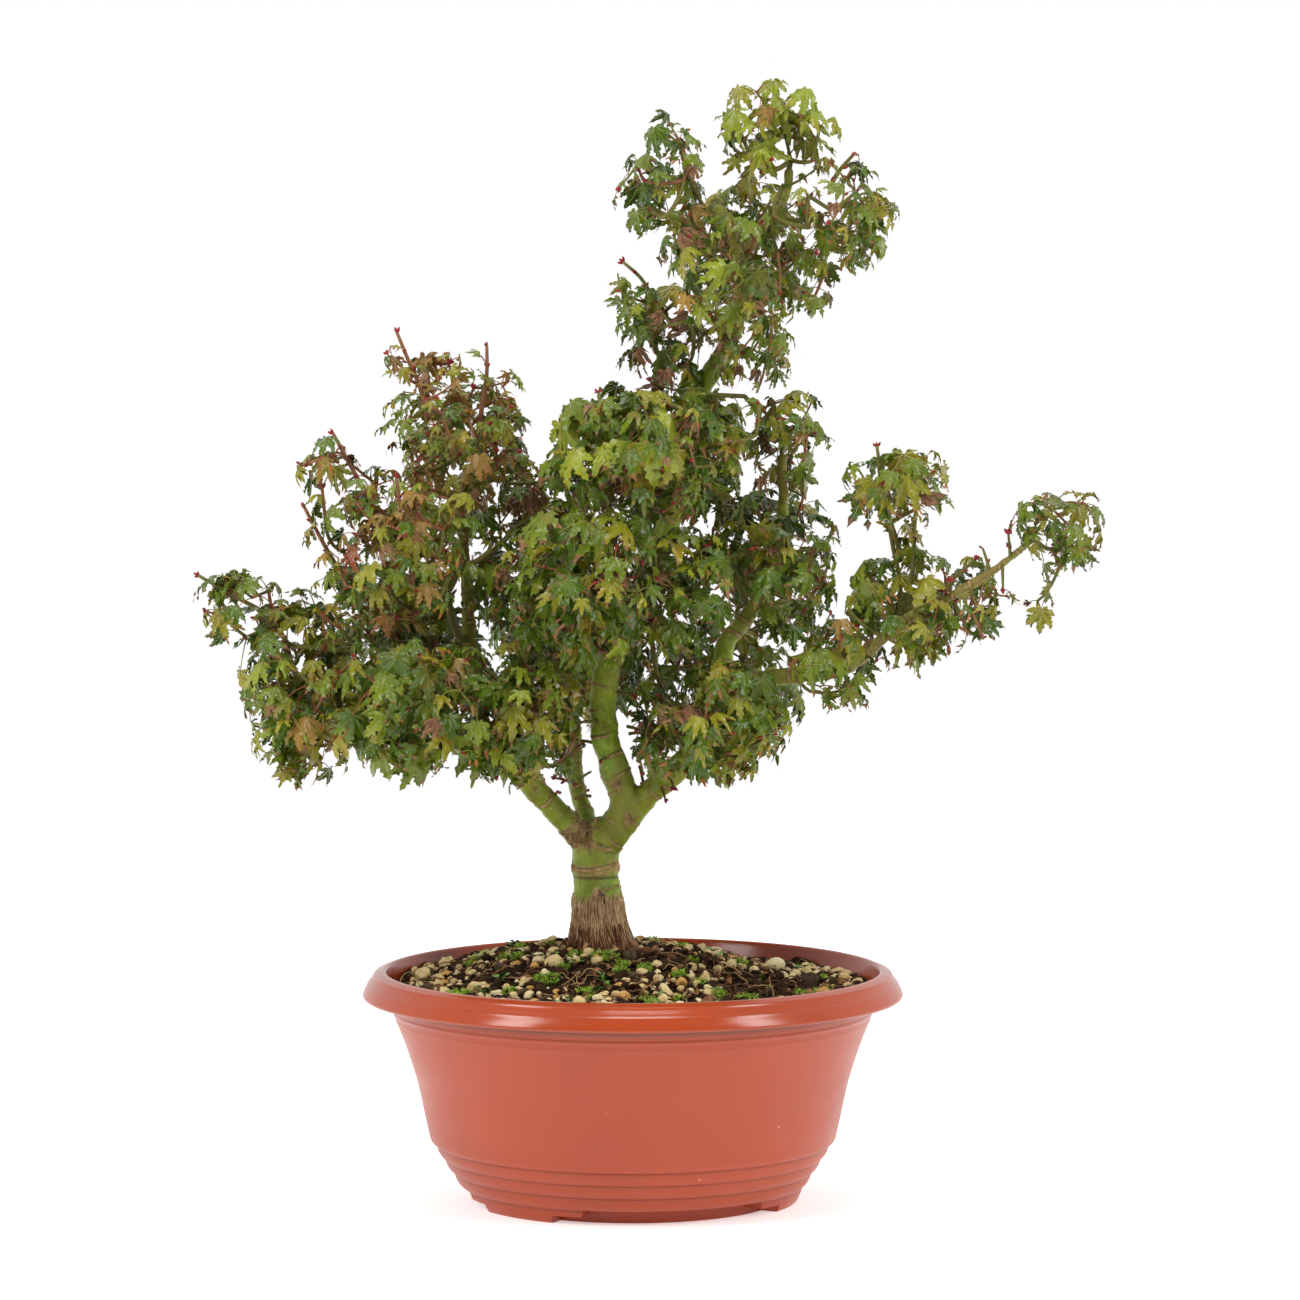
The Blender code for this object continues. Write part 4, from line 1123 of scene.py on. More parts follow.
def partOf(mesh, keep, name):
    # the faces of a skin that are kept, with the whole skin's own normals, so the join doesn't show
    bm = bmesh.new()
    bm.from_mesh(mesh)
    bm.faces.ensure_lookup_table()
    bmesh.ops.delete(bm, geom=[face for face in bm.faces if not keep[face.index]], context="FACES")
    part = bpy.data.meshes.new(name)
    bm.to_mesh(part)
    bm.free()
    normals = np.zeros(len(part.vertices) * 3, dtype=np.float32)
    part.attributes["ownNormal"].data.foreach_get("vector", normals)
    part.polygons.foreach_set("use_smooth", [True] * len(part.polygons))
    part.normals_split_custom_set_from_vertices(normals.reshape(-1, 3).tolist())
    part.attributes.remove(part.attributes["ownNormal"])
    return part


def buildBark():
    skin = fuseLimbs()
    points = vertexValues(skin, "co") / mm
    names, owner, along, angle, radius = nearestLimb(points)
    relief, scar, edge, foot = barkRelief(points, names, owner, along, angle)
    rim = softStep(126.0, 128.0, points[:, 2])
    points = points + vertexValues(skin, "normal") * (relief * rim)[:, None]
    skin.vertices.foreach_set("co", (points * mm).ravel())
    shade = 0.9 * (1.0 - softStep(130.0, 146.0, points[:, 2] + 4 * np.cos(angle * 2)))
    worn = np.clip(0.2 + 0.6 * ripple(points, 40.0, 27), 0.0, 1.0) * 0.5
    young = 1.0 - softStep(3.6, 5.8, radius)
    olive = np.maximum(worn, young * np.clip(0.72 + 0.3 * ripple(points, 14.0, 33), 0.0, 0.95))
    masks = {"scar": scar, "edge": np.clip(edge, 0.0, 1.0), "foot": foot, "shade": shade, "olive": olive}
    for key, values in masks.items():
        storeMask(skin, key, values)
    skin.update()
    facing = skin.attributes.new("ownNormal", "FLOAT_VECTOR", "POINT")
    facing.data.foreach_set("vector", vertexValues(skin, "normal").astype(np.float32).ravel())
    first = np.zeros(len(skin.polygons), dtype=np.int32)
    skin.polygons.foreach_get("loop_start", first)
    loops = np.zeros(len(skin.loops), dtype=np.int32)
    skin.loops.foreach_get("vertex_index", loops)
    isTrunk = (owner == names.index("trunk"))[loops[first]]
    trunkMesh = partOf(skin, isTrunk, "trunkBark")
    boughMesh = partOf(skin, ~isTrunk, "boughBark")
    finish = barkFinish("mapleBark")
    addPiece("trunkBark", trunkMesh, finish, ("trunk",))
    addPiece("boughBark", boughMesh, finish, tuple(name for name in names if name != "trunk"))


def growFibres():
    # loose strands of old bark that lie along the trunk's foot, pale ones above and dark ones below
    rng = random.Random(32)
    route = fineRoutes["trunk"]
    for name, count, (lowest, highest), light, dark in bark["strands"]:
        heap = newHeap()
        for _ in range(count):
            top = lowest + (highest - lowest) * rng.random()
            turn = anyTurn(rng)
            length = rng.uniform(4.0, 14.0)
            lean = rng.uniform(-0.14, 0.14)
            lift = rng.uniform(0.05, 0.9) * (1.4 if rng.random() < 0.12 else 1.0)
            points = []
            for step in range(4):
                t = step / 3
                height = max(127.2, top - length * t)
                near = np.array([np.interp(height, route[:, 2], route[:, axis]) for axis in (0, 1, 3)])
                reach = near[2] + 0.25 + lift * math.sin(math.pi * (0.1 + 0.8 * t))
                spin = turn + lean * t
                points.append((near[0] + reach * math.cos(spin), near[1] + reach * math.sin(spin), height))
            radius = rng.uniform(0.12, 0.34)
            radii = np.array([radius * 0.6, radius, radius * 0.8, radius * 0.4])
            pile(heap, *tubeArrays(np.array(points), radii, 3))
        finish = plainFinish(name + "Bark", light, dark, 0.85, patchScale=120.0, contrast=0.15,
                             Specular_IOR_Level=0.2)
        heapPiece(name, heap, finish)


buildBark()
growFibres()
say("bark")

# Foliage. The rule is the solids' own: each mass keeps to its space, a few ellipsoids (x, y, z and three
# radii) on a limb, and its twigs join the nearest open twig. Here it is carried to finer twigs and leaves.

growth = {
    "firstSeed": 4100, "pegLength": 6.0, "tipRadius": 0.6, "twigGrowth": 0.34,
    "outerReach": 1.13, "spaceMargin": -0.14, "limbClearance": 1.0, "siteReach": 0.88, "roomPerTwig": 8200.0,
    "siteTries": 10, "siteClear": 3.0, "nodeGap": (7.0, 11.5), "nodesPerTwig": 5, "leafTries": 7,
    "crowded": 5.0,
    "leafShares": (0.92, 0.82, 0.68, 0.54, 0.42), "shootShares": (0.5, 0.3, 0.3, 0.2, 0.2), "droop": 0.8,
    "leafScale": 1.2, "leanShare": 0.42, "brownShare": 0.55, "smallBrownShare": 0.42, "redStalkShare": 0.4,
}

# each mass: limb, how far along it, its space, its longest leaf, the share of small leaves, and its colours
masses = {
    "top_tuft": ("top_shoot", 1.0, ((73, 6, 549, 33, 30, 29),), 27, 0.08, "fresh"),
    "top_right": ("top_shoot", 0.35, ((100, -2, 507, 37, 42, 31), (88, 0, 472, 20, 30, 20)), 18, 0.5,
                  "mixed"),
    "top_left": ("leader", 0.97, ((15, 2, 525, 26, 32, 35),), 18, 0.35, "green"),
    "top_front": ("leader", 0.88, ((52, -28, 479, 40, 30, 34),), 24, 0.3, "worn"),
    "top_back": ("leader", 0.84, ((61, 55, 486, 40, 38, 42),), 20, 0.4, "mixed"),
    "neck_left": ("leader", 0.78, ((19, 4, 441, 29, 32, 33), (-4, -2, 472, 11, 24, 17)), 22, 0.3, "worn"),
    "neck_right": ("leader", 0.74, ((57, 0, 441, 28, 34, 31),), 22, 0.3, "worn"),
    "centre_high": ("leader", 0.62, ((2, -28, 385, 51, 48, 36), (52, -14, 403, 20, 32, 23)), 27, 0.25,
                    "worn"),
    "centre_back": ("leader", 0.52, ((14, 78, 381, 52, 42, 44),), 22, 0.35, "green"),
    "centre_low": ("leader", 0.33, ((-24, -48, 321, 45, 44, 44), (-35, -10, 248, 13, 28, 34)), 24, 0.3,
                   "green"),
    "heart": ("leader", 0.36, ((24, -30, 317, 30, 42, 36), (12, -14, 241, 16, 28, 29)), 23, 0.3, "green"),
    "right_upper": ("right_bough", 1.0, ((80, 8, 396, 22, 36, 30),), 19, 0.4, "mixed"),
    "right_middle": ("right_bough", 0.74, ((76, -10, 327, 29, 40, 32),), 20, 0.35, "green"),
    "right_back": ("right_bough", 0.66, ((72, 80, 326, 39, 40, 47),), 22, 0.35, "green"),
    "right_low": ("right_bough", 0.33, ((45, -46, 251, 37, 40, 34),), 26, 0.2, "green"),
    "right_low_back": ("right_bough", 0.36, ((47, 52, 254, 42, 42, 38),), 22, 0.35, "green"),
    "right_end": ("lower_right_bough", 0.8,
                  ((140, -28, 307, 36, 45, 32), (135, -34, 368, 29, 35, 22), (172, -45, 311, 20, 27, 23)),
                  22, 0.3, "mixed"),
    "right_under": ("lower_right_bough", 0.55, ((103, -40, 283, 30, 40, 26),), 19, 0.3, "green"),
    "far_right": ("far_right_shoot", 1.0, ((217, -62, 349, 26, 30, 24), (203, -62, 313, 12, 20, 18)),
                  18, 0.4, "mixed"),
    "left_upper": ("left_riser", 1.0, ((-90, 12, 396, 39, 50, 43), (-118, 10, 428, 12, 28, 15)),
                   17, 0.6, "bronze"),
    "left_upper_back": ("left_riser", 0.9, ((-86, 85, 373, 37, 36, 45),), 18, 0.5, "bronze"),
    "left_centre": ("left_riser", 0.72, ((-46, 22, 360, 27, 40, 34), (-73, -14, 318, 18, 30, 30)),
                    22, 0.3, "green"),
    "left_middle": ("left_riser", 0.5, ((-118, -30, 339, 47, 48, 44), (-158, -22, 379, 18, 30, 16)),
                    20, 0.45, "bronze"),
    "left_far": ("left_bough", 1.0, ((-167, -34, 268, 34, 45, 50), (-200, -36, 307, 26, 27, 21)),
                 23, 0.3, "mixed"),
    "left_low": ("left_bough", 0.85, ((-112, -64, 261, 50, 36, 38),), 27, 0.2, "green"),
    "left_low_back": ("left_bough", 0.7, ((-121, 40, 271, 49, 42, 47),), 23, 0.3, "green"),
    "left_inner": ("left_bough", 0.45, ((-57, -36, 256, 31, 40, 38), (-78, -34, 240, 24, 30, 22)),
                   24, 0.25, "green"),
    "back_low": ("back_bough", 1.0, ((-29, 122, 291, 53, 42, 58),), 23, 0.3, "green"),
}

# long shoots that reach out of the masses: the mass they grow in, their way points and their leaves
shoots = {
    "leftLow": ("left_far", (
        (-176, -34, 292), (-188, -34, 306), (-198, -34, 312), (-208, -36, 318), (-220, -38, 325))),
    "leftMiddle": ("left_middle", ((-144, -30, 312), (-149, -28, 326), (-158, -26, 342), (-167, -24, 359))),
    "leftHigh": ("left_middle", ((-131, -15, 357), (-138, -14, 369), (-147, -12, 385), (-153, -10, 396))),
    "leftFront": ("left_middle", ((-111, -50, 316), (-112, -52, 334), (-116, -52, 354), (-119, -50, 375))),
    "leftPeak": ("left_upper", ((-105, 10, 402), (-109, 10, 418), (-115, 10, 432), (-121, 8, 447))),
    "leftCrest": ("left_upper", ((-80, 12, 392), (-77, 12, 412), (-75, 12, 426), (-75, 12, 440))),
    "rightTall": ("right_end", ((132, -28, 291), (136, -28, 317), (132, -28, 340), (128, -27, 363),
                                (124, -26, 390))),
    "rightPair": ("right_end", ((138, -35, 307), (142, -36, 330), (143, -36, 353), (147, -34, 383))),
    "neckOut": ("neck_left", ((22, 0, 448), (11, -2, 464), (4, -3, 475), (-5, -4, 483))),
    "neckUp": ("top_left", ((45, 4, 497), (37, 4, 510), (29, 2, 524))),
    "topSide": ("top_right", ((100, 0, 520), (105, 0, 529), (112, 0, 537))),
    "rightTwig": ("right_end", ((138, -38, 307), (155, -44, 318), (173, -50, 334))),
    "centreTwig": ("centre_high", ((-18, -40, 394), (-16, -44, 406), (-17, -46, 418))),
}

# small sprays straight from the old wood: their start, way and length, and the mass they count to
sprigs = (
    ((-22, 8, 208), (-0.5, -0.7, 0.1), 12.0, "centre_low"),
    ((-26, 12, 214), (-0.7, -0.5, 0.3), 12.0, "centre_low"),
    ((-14, 0, 228), (-0.3, -1.0, 0.2), 9.0, "centre_low"),
    ((-30, 30, 212), (-0.8, -0.3, 0.4), 12.0, "centre_low"),
    ((36, -8, 243), (0.5, -0.7, -0.5), 12.0, "right_low"),
    ((-18, 0, 247), (-0.8, -0.6, 0.2), 11.0, "centre_low"),
    ((-2, 10, 240), (0.9, -0.4, 0.2), 13.0, "heart"), ((-8, 4, 262), (0.7, -0.7, 0.0), 12.0, "heart"),
    ((18, -4, 222), (0.2, -0.8, -0.4), 13.0, "right_low"),
    ((30, -4, 232), (0.4, -0.8, -0.5), 13.0, "right_low"),
    ((-20, 4, 236), (-0.9, 0.3, 0.2), 13.0, "centre_low"), ((-4, 10, 250), (0.9, 0.4, 0.2), 13.0, "heart"),
    ((-29, 48, 212), (0.5, -0.6, 0.5), 13.0, "centre_low"),
    ((-27, 40, 204), (0.2, -0.8, 0.5), 12.0, "centre_low"),
    ((-40, 6, 208), (0.1, -0.8, 0.4), 11.0, "centre_low"), ((2, 8, 226), (0.8, 0.2, 0.5), 13.0, "heart"),
    ((-3, 9, 244), (0.8, 0.5, -0.2), 13.0, "heart"), ((6, 8, 212), (-0.2, 0.7, 0.9), 14.0, "heart"),
    ((158, -51, 315), (0.1, -0.5, 0.8), 12.0, "far_right"),
    ((170, -54, 321), (0.2, -0.6, -0.7), 13.0, "far_right"),
    ((150, -48, 309), (-0.1, -0.5, -0.8), 12.0, "far_right"),
    ((186, -59, 332), (0.0, -0.5, -0.9), 12.0, "far_right"),
    ((190, -60, 335), (-0.1, -0.3, 1.0), 15.0, "far_right"),
    ((180, -57, 328), (-0.3, -0.3, 1.0), 15.0, "far_right"),
    ((-1, 8, 250), (0.6, 0.7, -0.2), 15.0, "heart"), ((12, 6, 214), (0.1, 0.8, 0.8), 15.0, "heart"),
    ((26, -2, 226), (0.2, -0.9, -0.3), 15.0, "right_low"),
    ((14, 2, 216), (0.2, -0.8, -0.5), 13.0, "right_low"),
    ((-66, -4, 227), (-0.2, -0.8, -0.3), 14.0, "left_inner"),
    ((-52, 2, 214), (-0.2, -0.6, 0.7), 13.0, "left_inner"),
)

# cut-off stubs: way points from inside a limb to the cut, and radius
stubs = (
    (((54, 9, 489), (55, -2, 496), (56, -8, 500)), 2.1),
    (((-85, 12, 345), (-92, 6, 352), (-97, 2, 356)), 1.8),
)

kinds = ("deep", "mid", "olive", "fresh", "bronze", "red", "amber", "dead")
mixes = {
    "green": (0.40, 0.31, 0.15, 0.05, 0.01, 0.0, 0.005, 0.075),
    "mixed": (0.27, 0.31, 0.26, 0.06, 0.03, 0.005, 0.005, 0.06),
    "worn": (0.26, 0.25, 0.20, 0.09, 0.02, 0.0, 0.02, 0.16),
    "bronze": (0.16, 0.22, 0.25, 0.06, 0.24, 0.015, 0.005, 0.05),
    "fresh": (0.03, 0.16, 0.38, 0.40, 0.02, 0.0, 0.01, 0.0),
}

testRoutes = {name: smoothRoute(points, 17.0) for name, points in limbs.items()}
massNames = list(masses)
balls = np.array([ball for name in massNames for ball in masses[name][2]], dtype=float)
ballOwners = np.array([number for number, name in enumerate(massNames) for ball in masses[name][2]])
barStarts = np.vstack([route[:-1, :3] for route in testRoutes.values()])
barSpans = np.vstack([route[1:, :3] - route[:-1, :3] for route in testRoutes.values()])
barRadii = np.concatenate([np.maximum(route[:-1, 3], route[1:, 3]) for route in testRoutes.values()])
barLengths = (barSpans ** 2).sum(axis=1)


def inSpace(number, points, margin):
    # true where all points lie in the mass's own space and not deeper in another's
    depths = np.sqrt((((points[:, None, :] - balls[None, :, :3]) / balls[None, :, 3:]) ** 2).sum(axis=2))
    own = depths[:, ballOwners == number].min(axis=1)
    other = depths[:, ballOwners != number].min(axis=1)
    return bool(own.max() <= growth["outerReach"] and (other >= own + margin).all())


def clearOfLimbs(points, room):
    offset = points[:, None, :] - barStarts[None]
    share = np.clip((offset * barSpans[None]).sum(axis=2) / barLengths[None], 0.0, 1.0)
    nearest = offset - share[..., None] * barSpans[None]
    return bool((np.sqrt((nearest ** 2).sum(axis=2)) - barRadii[None] > room).all())


def stemStart(name):
    limb, along, space = masses[name][:3]
    route = testRoutes[limb]
    if along == 1.0:
        heading = unit(route[-1][:3] - route[-2][:3])
        return route[-1][:3] - heading, heading
    spot = along * (len(route) - 1)
    low = int(spot)
    place = route[low] + (route[low + 1] - route[low]) * (spot - low)
    course = unit(route[low + 1][:3] - route[low][:3])
    away = np.array(space[0][:3], dtype=float) - place[:3]
    heading = unit(away - course * float(away @ course))
    return place[:3] + heading * (place[3] - 1.0), heading


def pickSites(rng, number, name):
    # twig ends spread evenly through the mass's space, each the best of a few random tries
    space = masses[name][2]
    volume = sum(4.19 * ball[3] * ball[4] * ball[5] for ball in space)
    weights = [ball[3] * ball[4] * ball[5] for ball in space]
    sites = []
    for _ in range(max(4, round(volume / growth["roomPerTwig"]))):
        best = None
        bestGap = -1.0
        for _ in range(growth["siteTries"]):
            ball = rng.choices(space, weights)[0]
            reach = growth["siteReach"] * rng.random() ** 0.4
            point = np.array(ball[:3]) + randomUnit(rng) * reach * np.array(ball[3:])
            if not inSpace(number, point[None], 0.0) or not clearOfLimbs(point[None], growth["siteClear"]):
                continue
            gap = min([float(np.linalg.norm(point - other)) for other in sites] or [99.0])
            if gap > bestGap:
                best = point
                bestGap = gap
        if best is not None:
            sites.append(best)
    return sites


def joinSites(number, start, peg, sites):
    # each site is joined to the nearest open twig that it can reach
    nodes = [{"at": start, "parent": None}, {"at": peg, "parent": 0}]
    for site in sorted(sites, key=lambda place: float(np.linalg.norm(place - peg))):
        order = sorted(range(1, len(nodes)), key=lambda n: float(np.linalg.norm(nodes[n]["at"] - site)))
        for index in order[:6]:
            base = nodes[index]["at"]
            span = base + (site - base) * np.linspace(0.0, 1.0, 7)[:, None]
            clear = clearOfLimbs(span[1:], growth["limbClearance"])
            if clear and (index == 1 or inSpace(number, span, -0.3)):
                nodes.append({"at": site, "parent": index})
                break
    return nodes


def twigRoute(start, end, rng, outward):
    # a twig bows a little and turns up towards its end
    length = float(np.linalg.norm(end - start))
    bow = (outward * 0.5 + np.array([0, 0, -0.6]) + 0.5 * randomUnit(rng)) * length * 0.09
    return np.array([start + (end - start) * t + bow * 4 * t * (1 - t) for t in np.linspace(0, 1, 6)])


say("growth rule")

# Leaves: flat patterns of five or seven toothed lobes, bent to shape one by one

leafSorts = {
    # lobe angles, lobe lengths, widest half width, sinus depths and rows of points on a lobe
    "large": {"angles": (0, 36, 74, 116), "lengths": (1.0, 0.90, 0.67, 0.35),
              "widths": (0.13, 0.124, 0.10, 0.06),
              "sinus": (0.36, 0.31, 0.22, 0.13), "rows": 8, "tooth": 0.24, "vein": 0.010},
    "middle": {"angles": (0, 40, 86), "lengths": (1.0, 0.84, 0.50), "widths": (0.13, 0.12, 0.085),
               "sinus": (0.33, 0.27, 0.17), "rows": 7, "tooth": 0.24, "vein": 0.011},
    "broad": {"angles": (0, 39, 80, 122), "lengths": (1.0, 0.88, 0.62, 0.30),
              "widths": (0.158, 0.15, 0.118, 0.06),
              "sinus": (0.43, 0.37, 0.26, 0.14), "rows": 7, "tooth": 0.22, "vein": 0.011},
    "small": {"angles": (0, 45, 92), "lengths": (1.0, 0.76, 0.43), "widths": (0.128, 0.112, 0.08),
              "sinus": (0.27, 0.22, 0.14), "rows": 4, "tooth": 0.28, "vein": 0.0},
    "narrow": {"angles": (0, 48), "lengths": (1.0, 0.66), "widths": (0.11, 0.095),
               "sinus": (0.24, 0.18), "rows": 5, "tooth": 0.24, "vein": 0.0},
}


def lobeWidth(share):
    return math.sin(math.pi * (0.30 + 0.70 * share)) ** 1.2


def leafPattern(sort):
    # points in the leaf's own plane, +Y along its middle lobe, with each point's place on its lobe
    values = leafSorts[sort]
    count = len(values["angles"])
    lobes = [(-values["angles"][n], n) for n in range(count - 1, 0, -1)]
    lobes += [(values["angles"][n], n) for n in range(count)]
    rows = []      # lobe number, free length, side offset, flat x, flat y, base x, base y
    faces = {"blade": [], "vein": [], "tip": []}

    def addPoint(lobe, free, side, x, y, baseX=0.0, baseY=0.0):
        rows.append((lobe, free, side, x, y, baseX, baseY))
        return len(rows) - 1

    centre = addPoint(-1, 0.0, 0.0, 0.0, 0.0)
    bays = []
    for number in range(len(lobes) + 1):
        if number == 0:
            turn = math.radians(lobes[0][0] - 30)
            depth = values["sinus"][-1]
            half = 0.04
        elif number == len(lobes):
            turn = math.radians(lobes[-1][0] + 30)
            depth = values["sinus"][-1]
            half = 0.04
        else:
            turn = math.radians((lobes[number - 1][0] + lobes[number][0]) / 2)
            depth = values["sinus"][min(lobes[number - 1][1], lobes[number][1])]
            half = depth * math.tan(math.radians(abs(lobes[number][0] - lobes[number - 1][0])) / 2)
        bays.append([addPoint(-1, 0.0, half * part, math.sin(turn) * depth * part,
                              math.cos(turn) * depth * part)
                     for part in (0.5, 1.0)])
    vein = values["vein"]
    for number, (angle, rank) in enumerate(lobes):
        turn = math.radians(angle)
        axis = np.array([math.sin(turn), math.cos(turn)])
        side = np.array([-axis[1], axis[0]])
        left = bays[number]
        right = bays[number + 1]
        flatLeft = np.array(rows[left[1]][3:5])
        flatRight = np.array(rows[right[1]][3:5])
        base = (float(flatLeft @ axis) + float(flatRight @ axis)) / 2
        length = values["lengths"][rank]
        widest = values["widths"][rank]
        previous = None
        for part in (0.5, 1.0):
            middle = []
            for hand in ((1, -1) if vein else (0,)):
                flat = axis * base * part + side * vein * hand
                middle.append(addPoint(number, 0.0, vein * hand, flat[0], flat[1], axis[0] * base,
                                       axis[1] * base))
            which = 0 if part == 0.5 else 1
            if previous is None:
                faces["blade"].append((centre, left[0], middle[0]))
                faces["blade"].append((centre, middle[-1], right[0]))
                if vein:
                    faces["vein"].append((centre, middle[0], middle[1]))
            else:
                faces["blade"] += [(left[0], left[which], middle[0]), (left[0], middle[0], previous[0])]
                faces["blade"].append((previous[-1], middle[-1], right[which]))
                faces["blade"].append((previous[-1], right[which], right[0]))
                if vein:
                    faces["vein"].append((previous[0], middle[0], middle[1]))
                    faces["vein"].append((previous[0], middle[1], previous[1]))
            previous = middle
        before = [left[1]] + previous + [right[1]]
        for row in range(1, values["rows"] + 1):
            share = row / values["rows"]
            free = (length - base) * share
            kind = "tip" if share > 0.74 else "blade"
            if row == values["rows"]:
                flat = axis * length
                tip = addPoint(number, length - base, 0.0, flat[0], flat[1], axis[0] * base, axis[1] * base)
                for first, second in zip(before, before[1:]):
                    faces[kind].append((first, tip, second))
                break
            half = widest * lobeWidth(share)
            half *= 1.0 + values["tooth"] * (1 if row % 2 else -1)
            ahead = (length - base) / values["rows"] * (0.35 if row % 2 else -0.1)
            ring = []
            for hand in (1, -1):
                wide = half * hand
                flat = axis * (base + free + ahead) + side * wide
                edge = addPoint(number, free + ahead, wide, flat[0], flat[1], axis[0] * base, axis[1] * base)
                ring.append(edge)
            middle = []
            thin = vein * (1.0 - 0.75 * share)
            for hand in ((1, -1) if vein else (0,)):
                flat = axis * (base + free) + side * thin * hand
                middle.append(addPoint(number, free, thin * hand, flat[0], flat[1], axis[0] * base,
                                       axis[1] * base))
            now = [ring[0]] + middle + [ring[1]]
            for column in range(len(now) - 1):
                target = "vein" if vein and column == 1 else kind
                faces[target] += [(before[column], now[column], now[column + 1]),
                                  (before[column], now[column + 1], before[column + 1])]
            before = now
    table = np.array(rows)
    axes = np.array([(math.sin(math.radians(angle)), math.cos(math.radians(angle))) for angle, _ in lobes])
    lengths = np.array([values["lengths"][rank] for _, rank in lobes])
    pattern = {"lobe": table[:, 0].astype(int), "free": table[:, 1], "side": table[:, 2],
               "flat": table[:, 3:5],
               "base": table[:, 5:7], "axes": axes, "lengths": lengths, "count": len(lobes), "parts": {}}
    for part, chosen in (("blade", ("blade",)), ("whole", ("blade", "tip")), ("tip", ("tip",)),
                         ("vein", ("vein",))):
        listed = np.array([face for key in chosen for face in faces[key]], dtype=int).reshape(-1, 3)
        used = np.unique(listed)
        where = np.zeros(len(rows), dtype=int)
        where[used] = np.arange(len(used))
        pattern["parts"][part] = (used, where[listed])
    return pattern


patterns = {sort: leafPattern(sort) for sort in leafSorts}


def shapeLeaf(pattern, rng, curl, cone, fold, crinkle, hangs):
    # the flat pattern with its lobes bent down, twisted, folded along their veins and crinkled
    count = pattern["count"]
    lobe = pattern["lobe"]
    on = lobe >= 0
    pick = np.where(on, lobe, 0)
    bend = np.array([curl * rng.uniform(0.5, 1.5) for _ in range(count)])[pick]
    twist = np.array([rng.gauss(0, 0.55) * curl for _ in range(count)])[pick]
    swerve = np.array([rng.gauss(0, 0.22) for _ in range(count)])[pick]
    phase = anyTurn(rng)
    free = np.where(on, pattern["free"], 0.0)
    rate = bend / pattern["lengths"][pick] + 1e-6
    ahead = np.sin(rate * free) / rate
    drop = (1.0 - np.cos(rate * free)) / rate
    axis = pattern["axes"][pick]
    across = np.stack([-axis[:, 1], axis[:, 0]], axis=1)
    side = pattern["side"]
    turned = twist * free
    sideways = side * np.cos(turned) + swerve * free * free
    flat = np.where((on & (free > 0))[:, None],
                    pattern["base"] + axis * ahead[:, None] + across * sideways[:, None], pattern["flat"])
    reach = np.linalg.norm(flat, axis=1)
    height = -cone * reach - np.where(on, drop, 0.0) + fold * np.abs(side) + side * np.sin(turned) * on
    height += crinkle * np.sin(9.0 * flat[:, 0] + phase) * np.cos(8.0 * flat[:, 1] + 2 * phase) * reach
    height += crinkle * 0.5 * np.sin(26.0 * free + phase) * np.sign(side) * (np.abs(side) > 0.03)
    hang = np.where(flat[:, 0] > 0, hangs[0], hangs[1])
    return np.stack([flat[:, 0] * np.cos(hang), flat[:, 1], height - np.abs(flat[:, 0]) * np.sin(hang)],
                    axis=1)


leafBends = {  # the ranges of curl, cone and fold, and the crinkle; a single number isn't drawn
    "dead": ((2.2, 4.2), (0.3, 0.9), 1.1, 0.34),
    "small": ((0.4, 1.6), (0.0, 0.4), (0.3, 0.8), 0.13),
    "other": ((0.3, 1.25), (0.02, 0.28), (0.25, 0.75), 0.09),
}
leafTones = {  # light tone, dark tone and roughness
    "deep": (tone(86, 110, 20), tone(46, 71, 10), 0.23),
    "mid": (tone(116, 131, 26), tone(74, 94, 15), 0.23),
    "olive": (tone(147, 141, 30), tone(104, 105, 18), 0.25),
    "fresh": (tone(148, 158, 40), tone(108, 124, 25), 0.26),
    "bronze": (tone(146, 114, 44), tone(106, 86, 27), 0.3),
    "red": (tone(154, 78, 46), tone(112, 58, 34), 0.3),
    "amber": (tone(176, 138, 42), tone(130, 104, 28), 0.32),
    "dead": (tone(166, 126, 92), tone(92, 62, 43), 0.75),
    "veinsGreen": (tone(128, 138, 48), tone(98, 110, 34), 0.3),
    "veinsPale": (tone(166, 170, 72), tone(138, 144, 52), 0.3),
    "veinsWarm": (tone(184, 140, 74), tone(152, 108, 54), 0.35),
    "tipsBrown": (tone(150, 106, 68), tone(90, 58, 36), 0.7),
    "tipsOrange": (tone(176, 112, 54), tone(126, 70, 34), 0.5),
    "petiolesRed": (tone(168, 98, 60), tone(124, 64, 40), 0.4),
    "petiolesGreen": (tone(156, 152, 68), tone(116, 118, 42), 0.4),
    "twigsGreen": (tone(124, 118, 54), tone(82, 82, 32), 0.5),
    "twigsRed": (tone(150, 102, 66), tone(108, 70, 44), 0.5),
    "twigsCut": (tone(232, 212, 172), tone(196, 170, 126), 0.7),
    "buds": (tone(164, 44, 46), tone(108, 26, 30), 0.35),
}
leafTips = np.array([(0, 0), (0, 1.0), (0.55, 0.72), (-0.55, 0.72), (0.6, 0.1), (-0.6, 0.1), (0, 0.5)])
heaps = {name: newHeap() for name in leafTones}
veinHeaps = {"deep": "veinsGreen", "mid": "veinsGreen", "olive": "veinsPale", "fresh": "veinsPale",
             "bronze": "veinsWarm", "red": "veinsWarm", "amber": "veinsWarm", "dead": "dead"}
budBall = ballArrays(1)


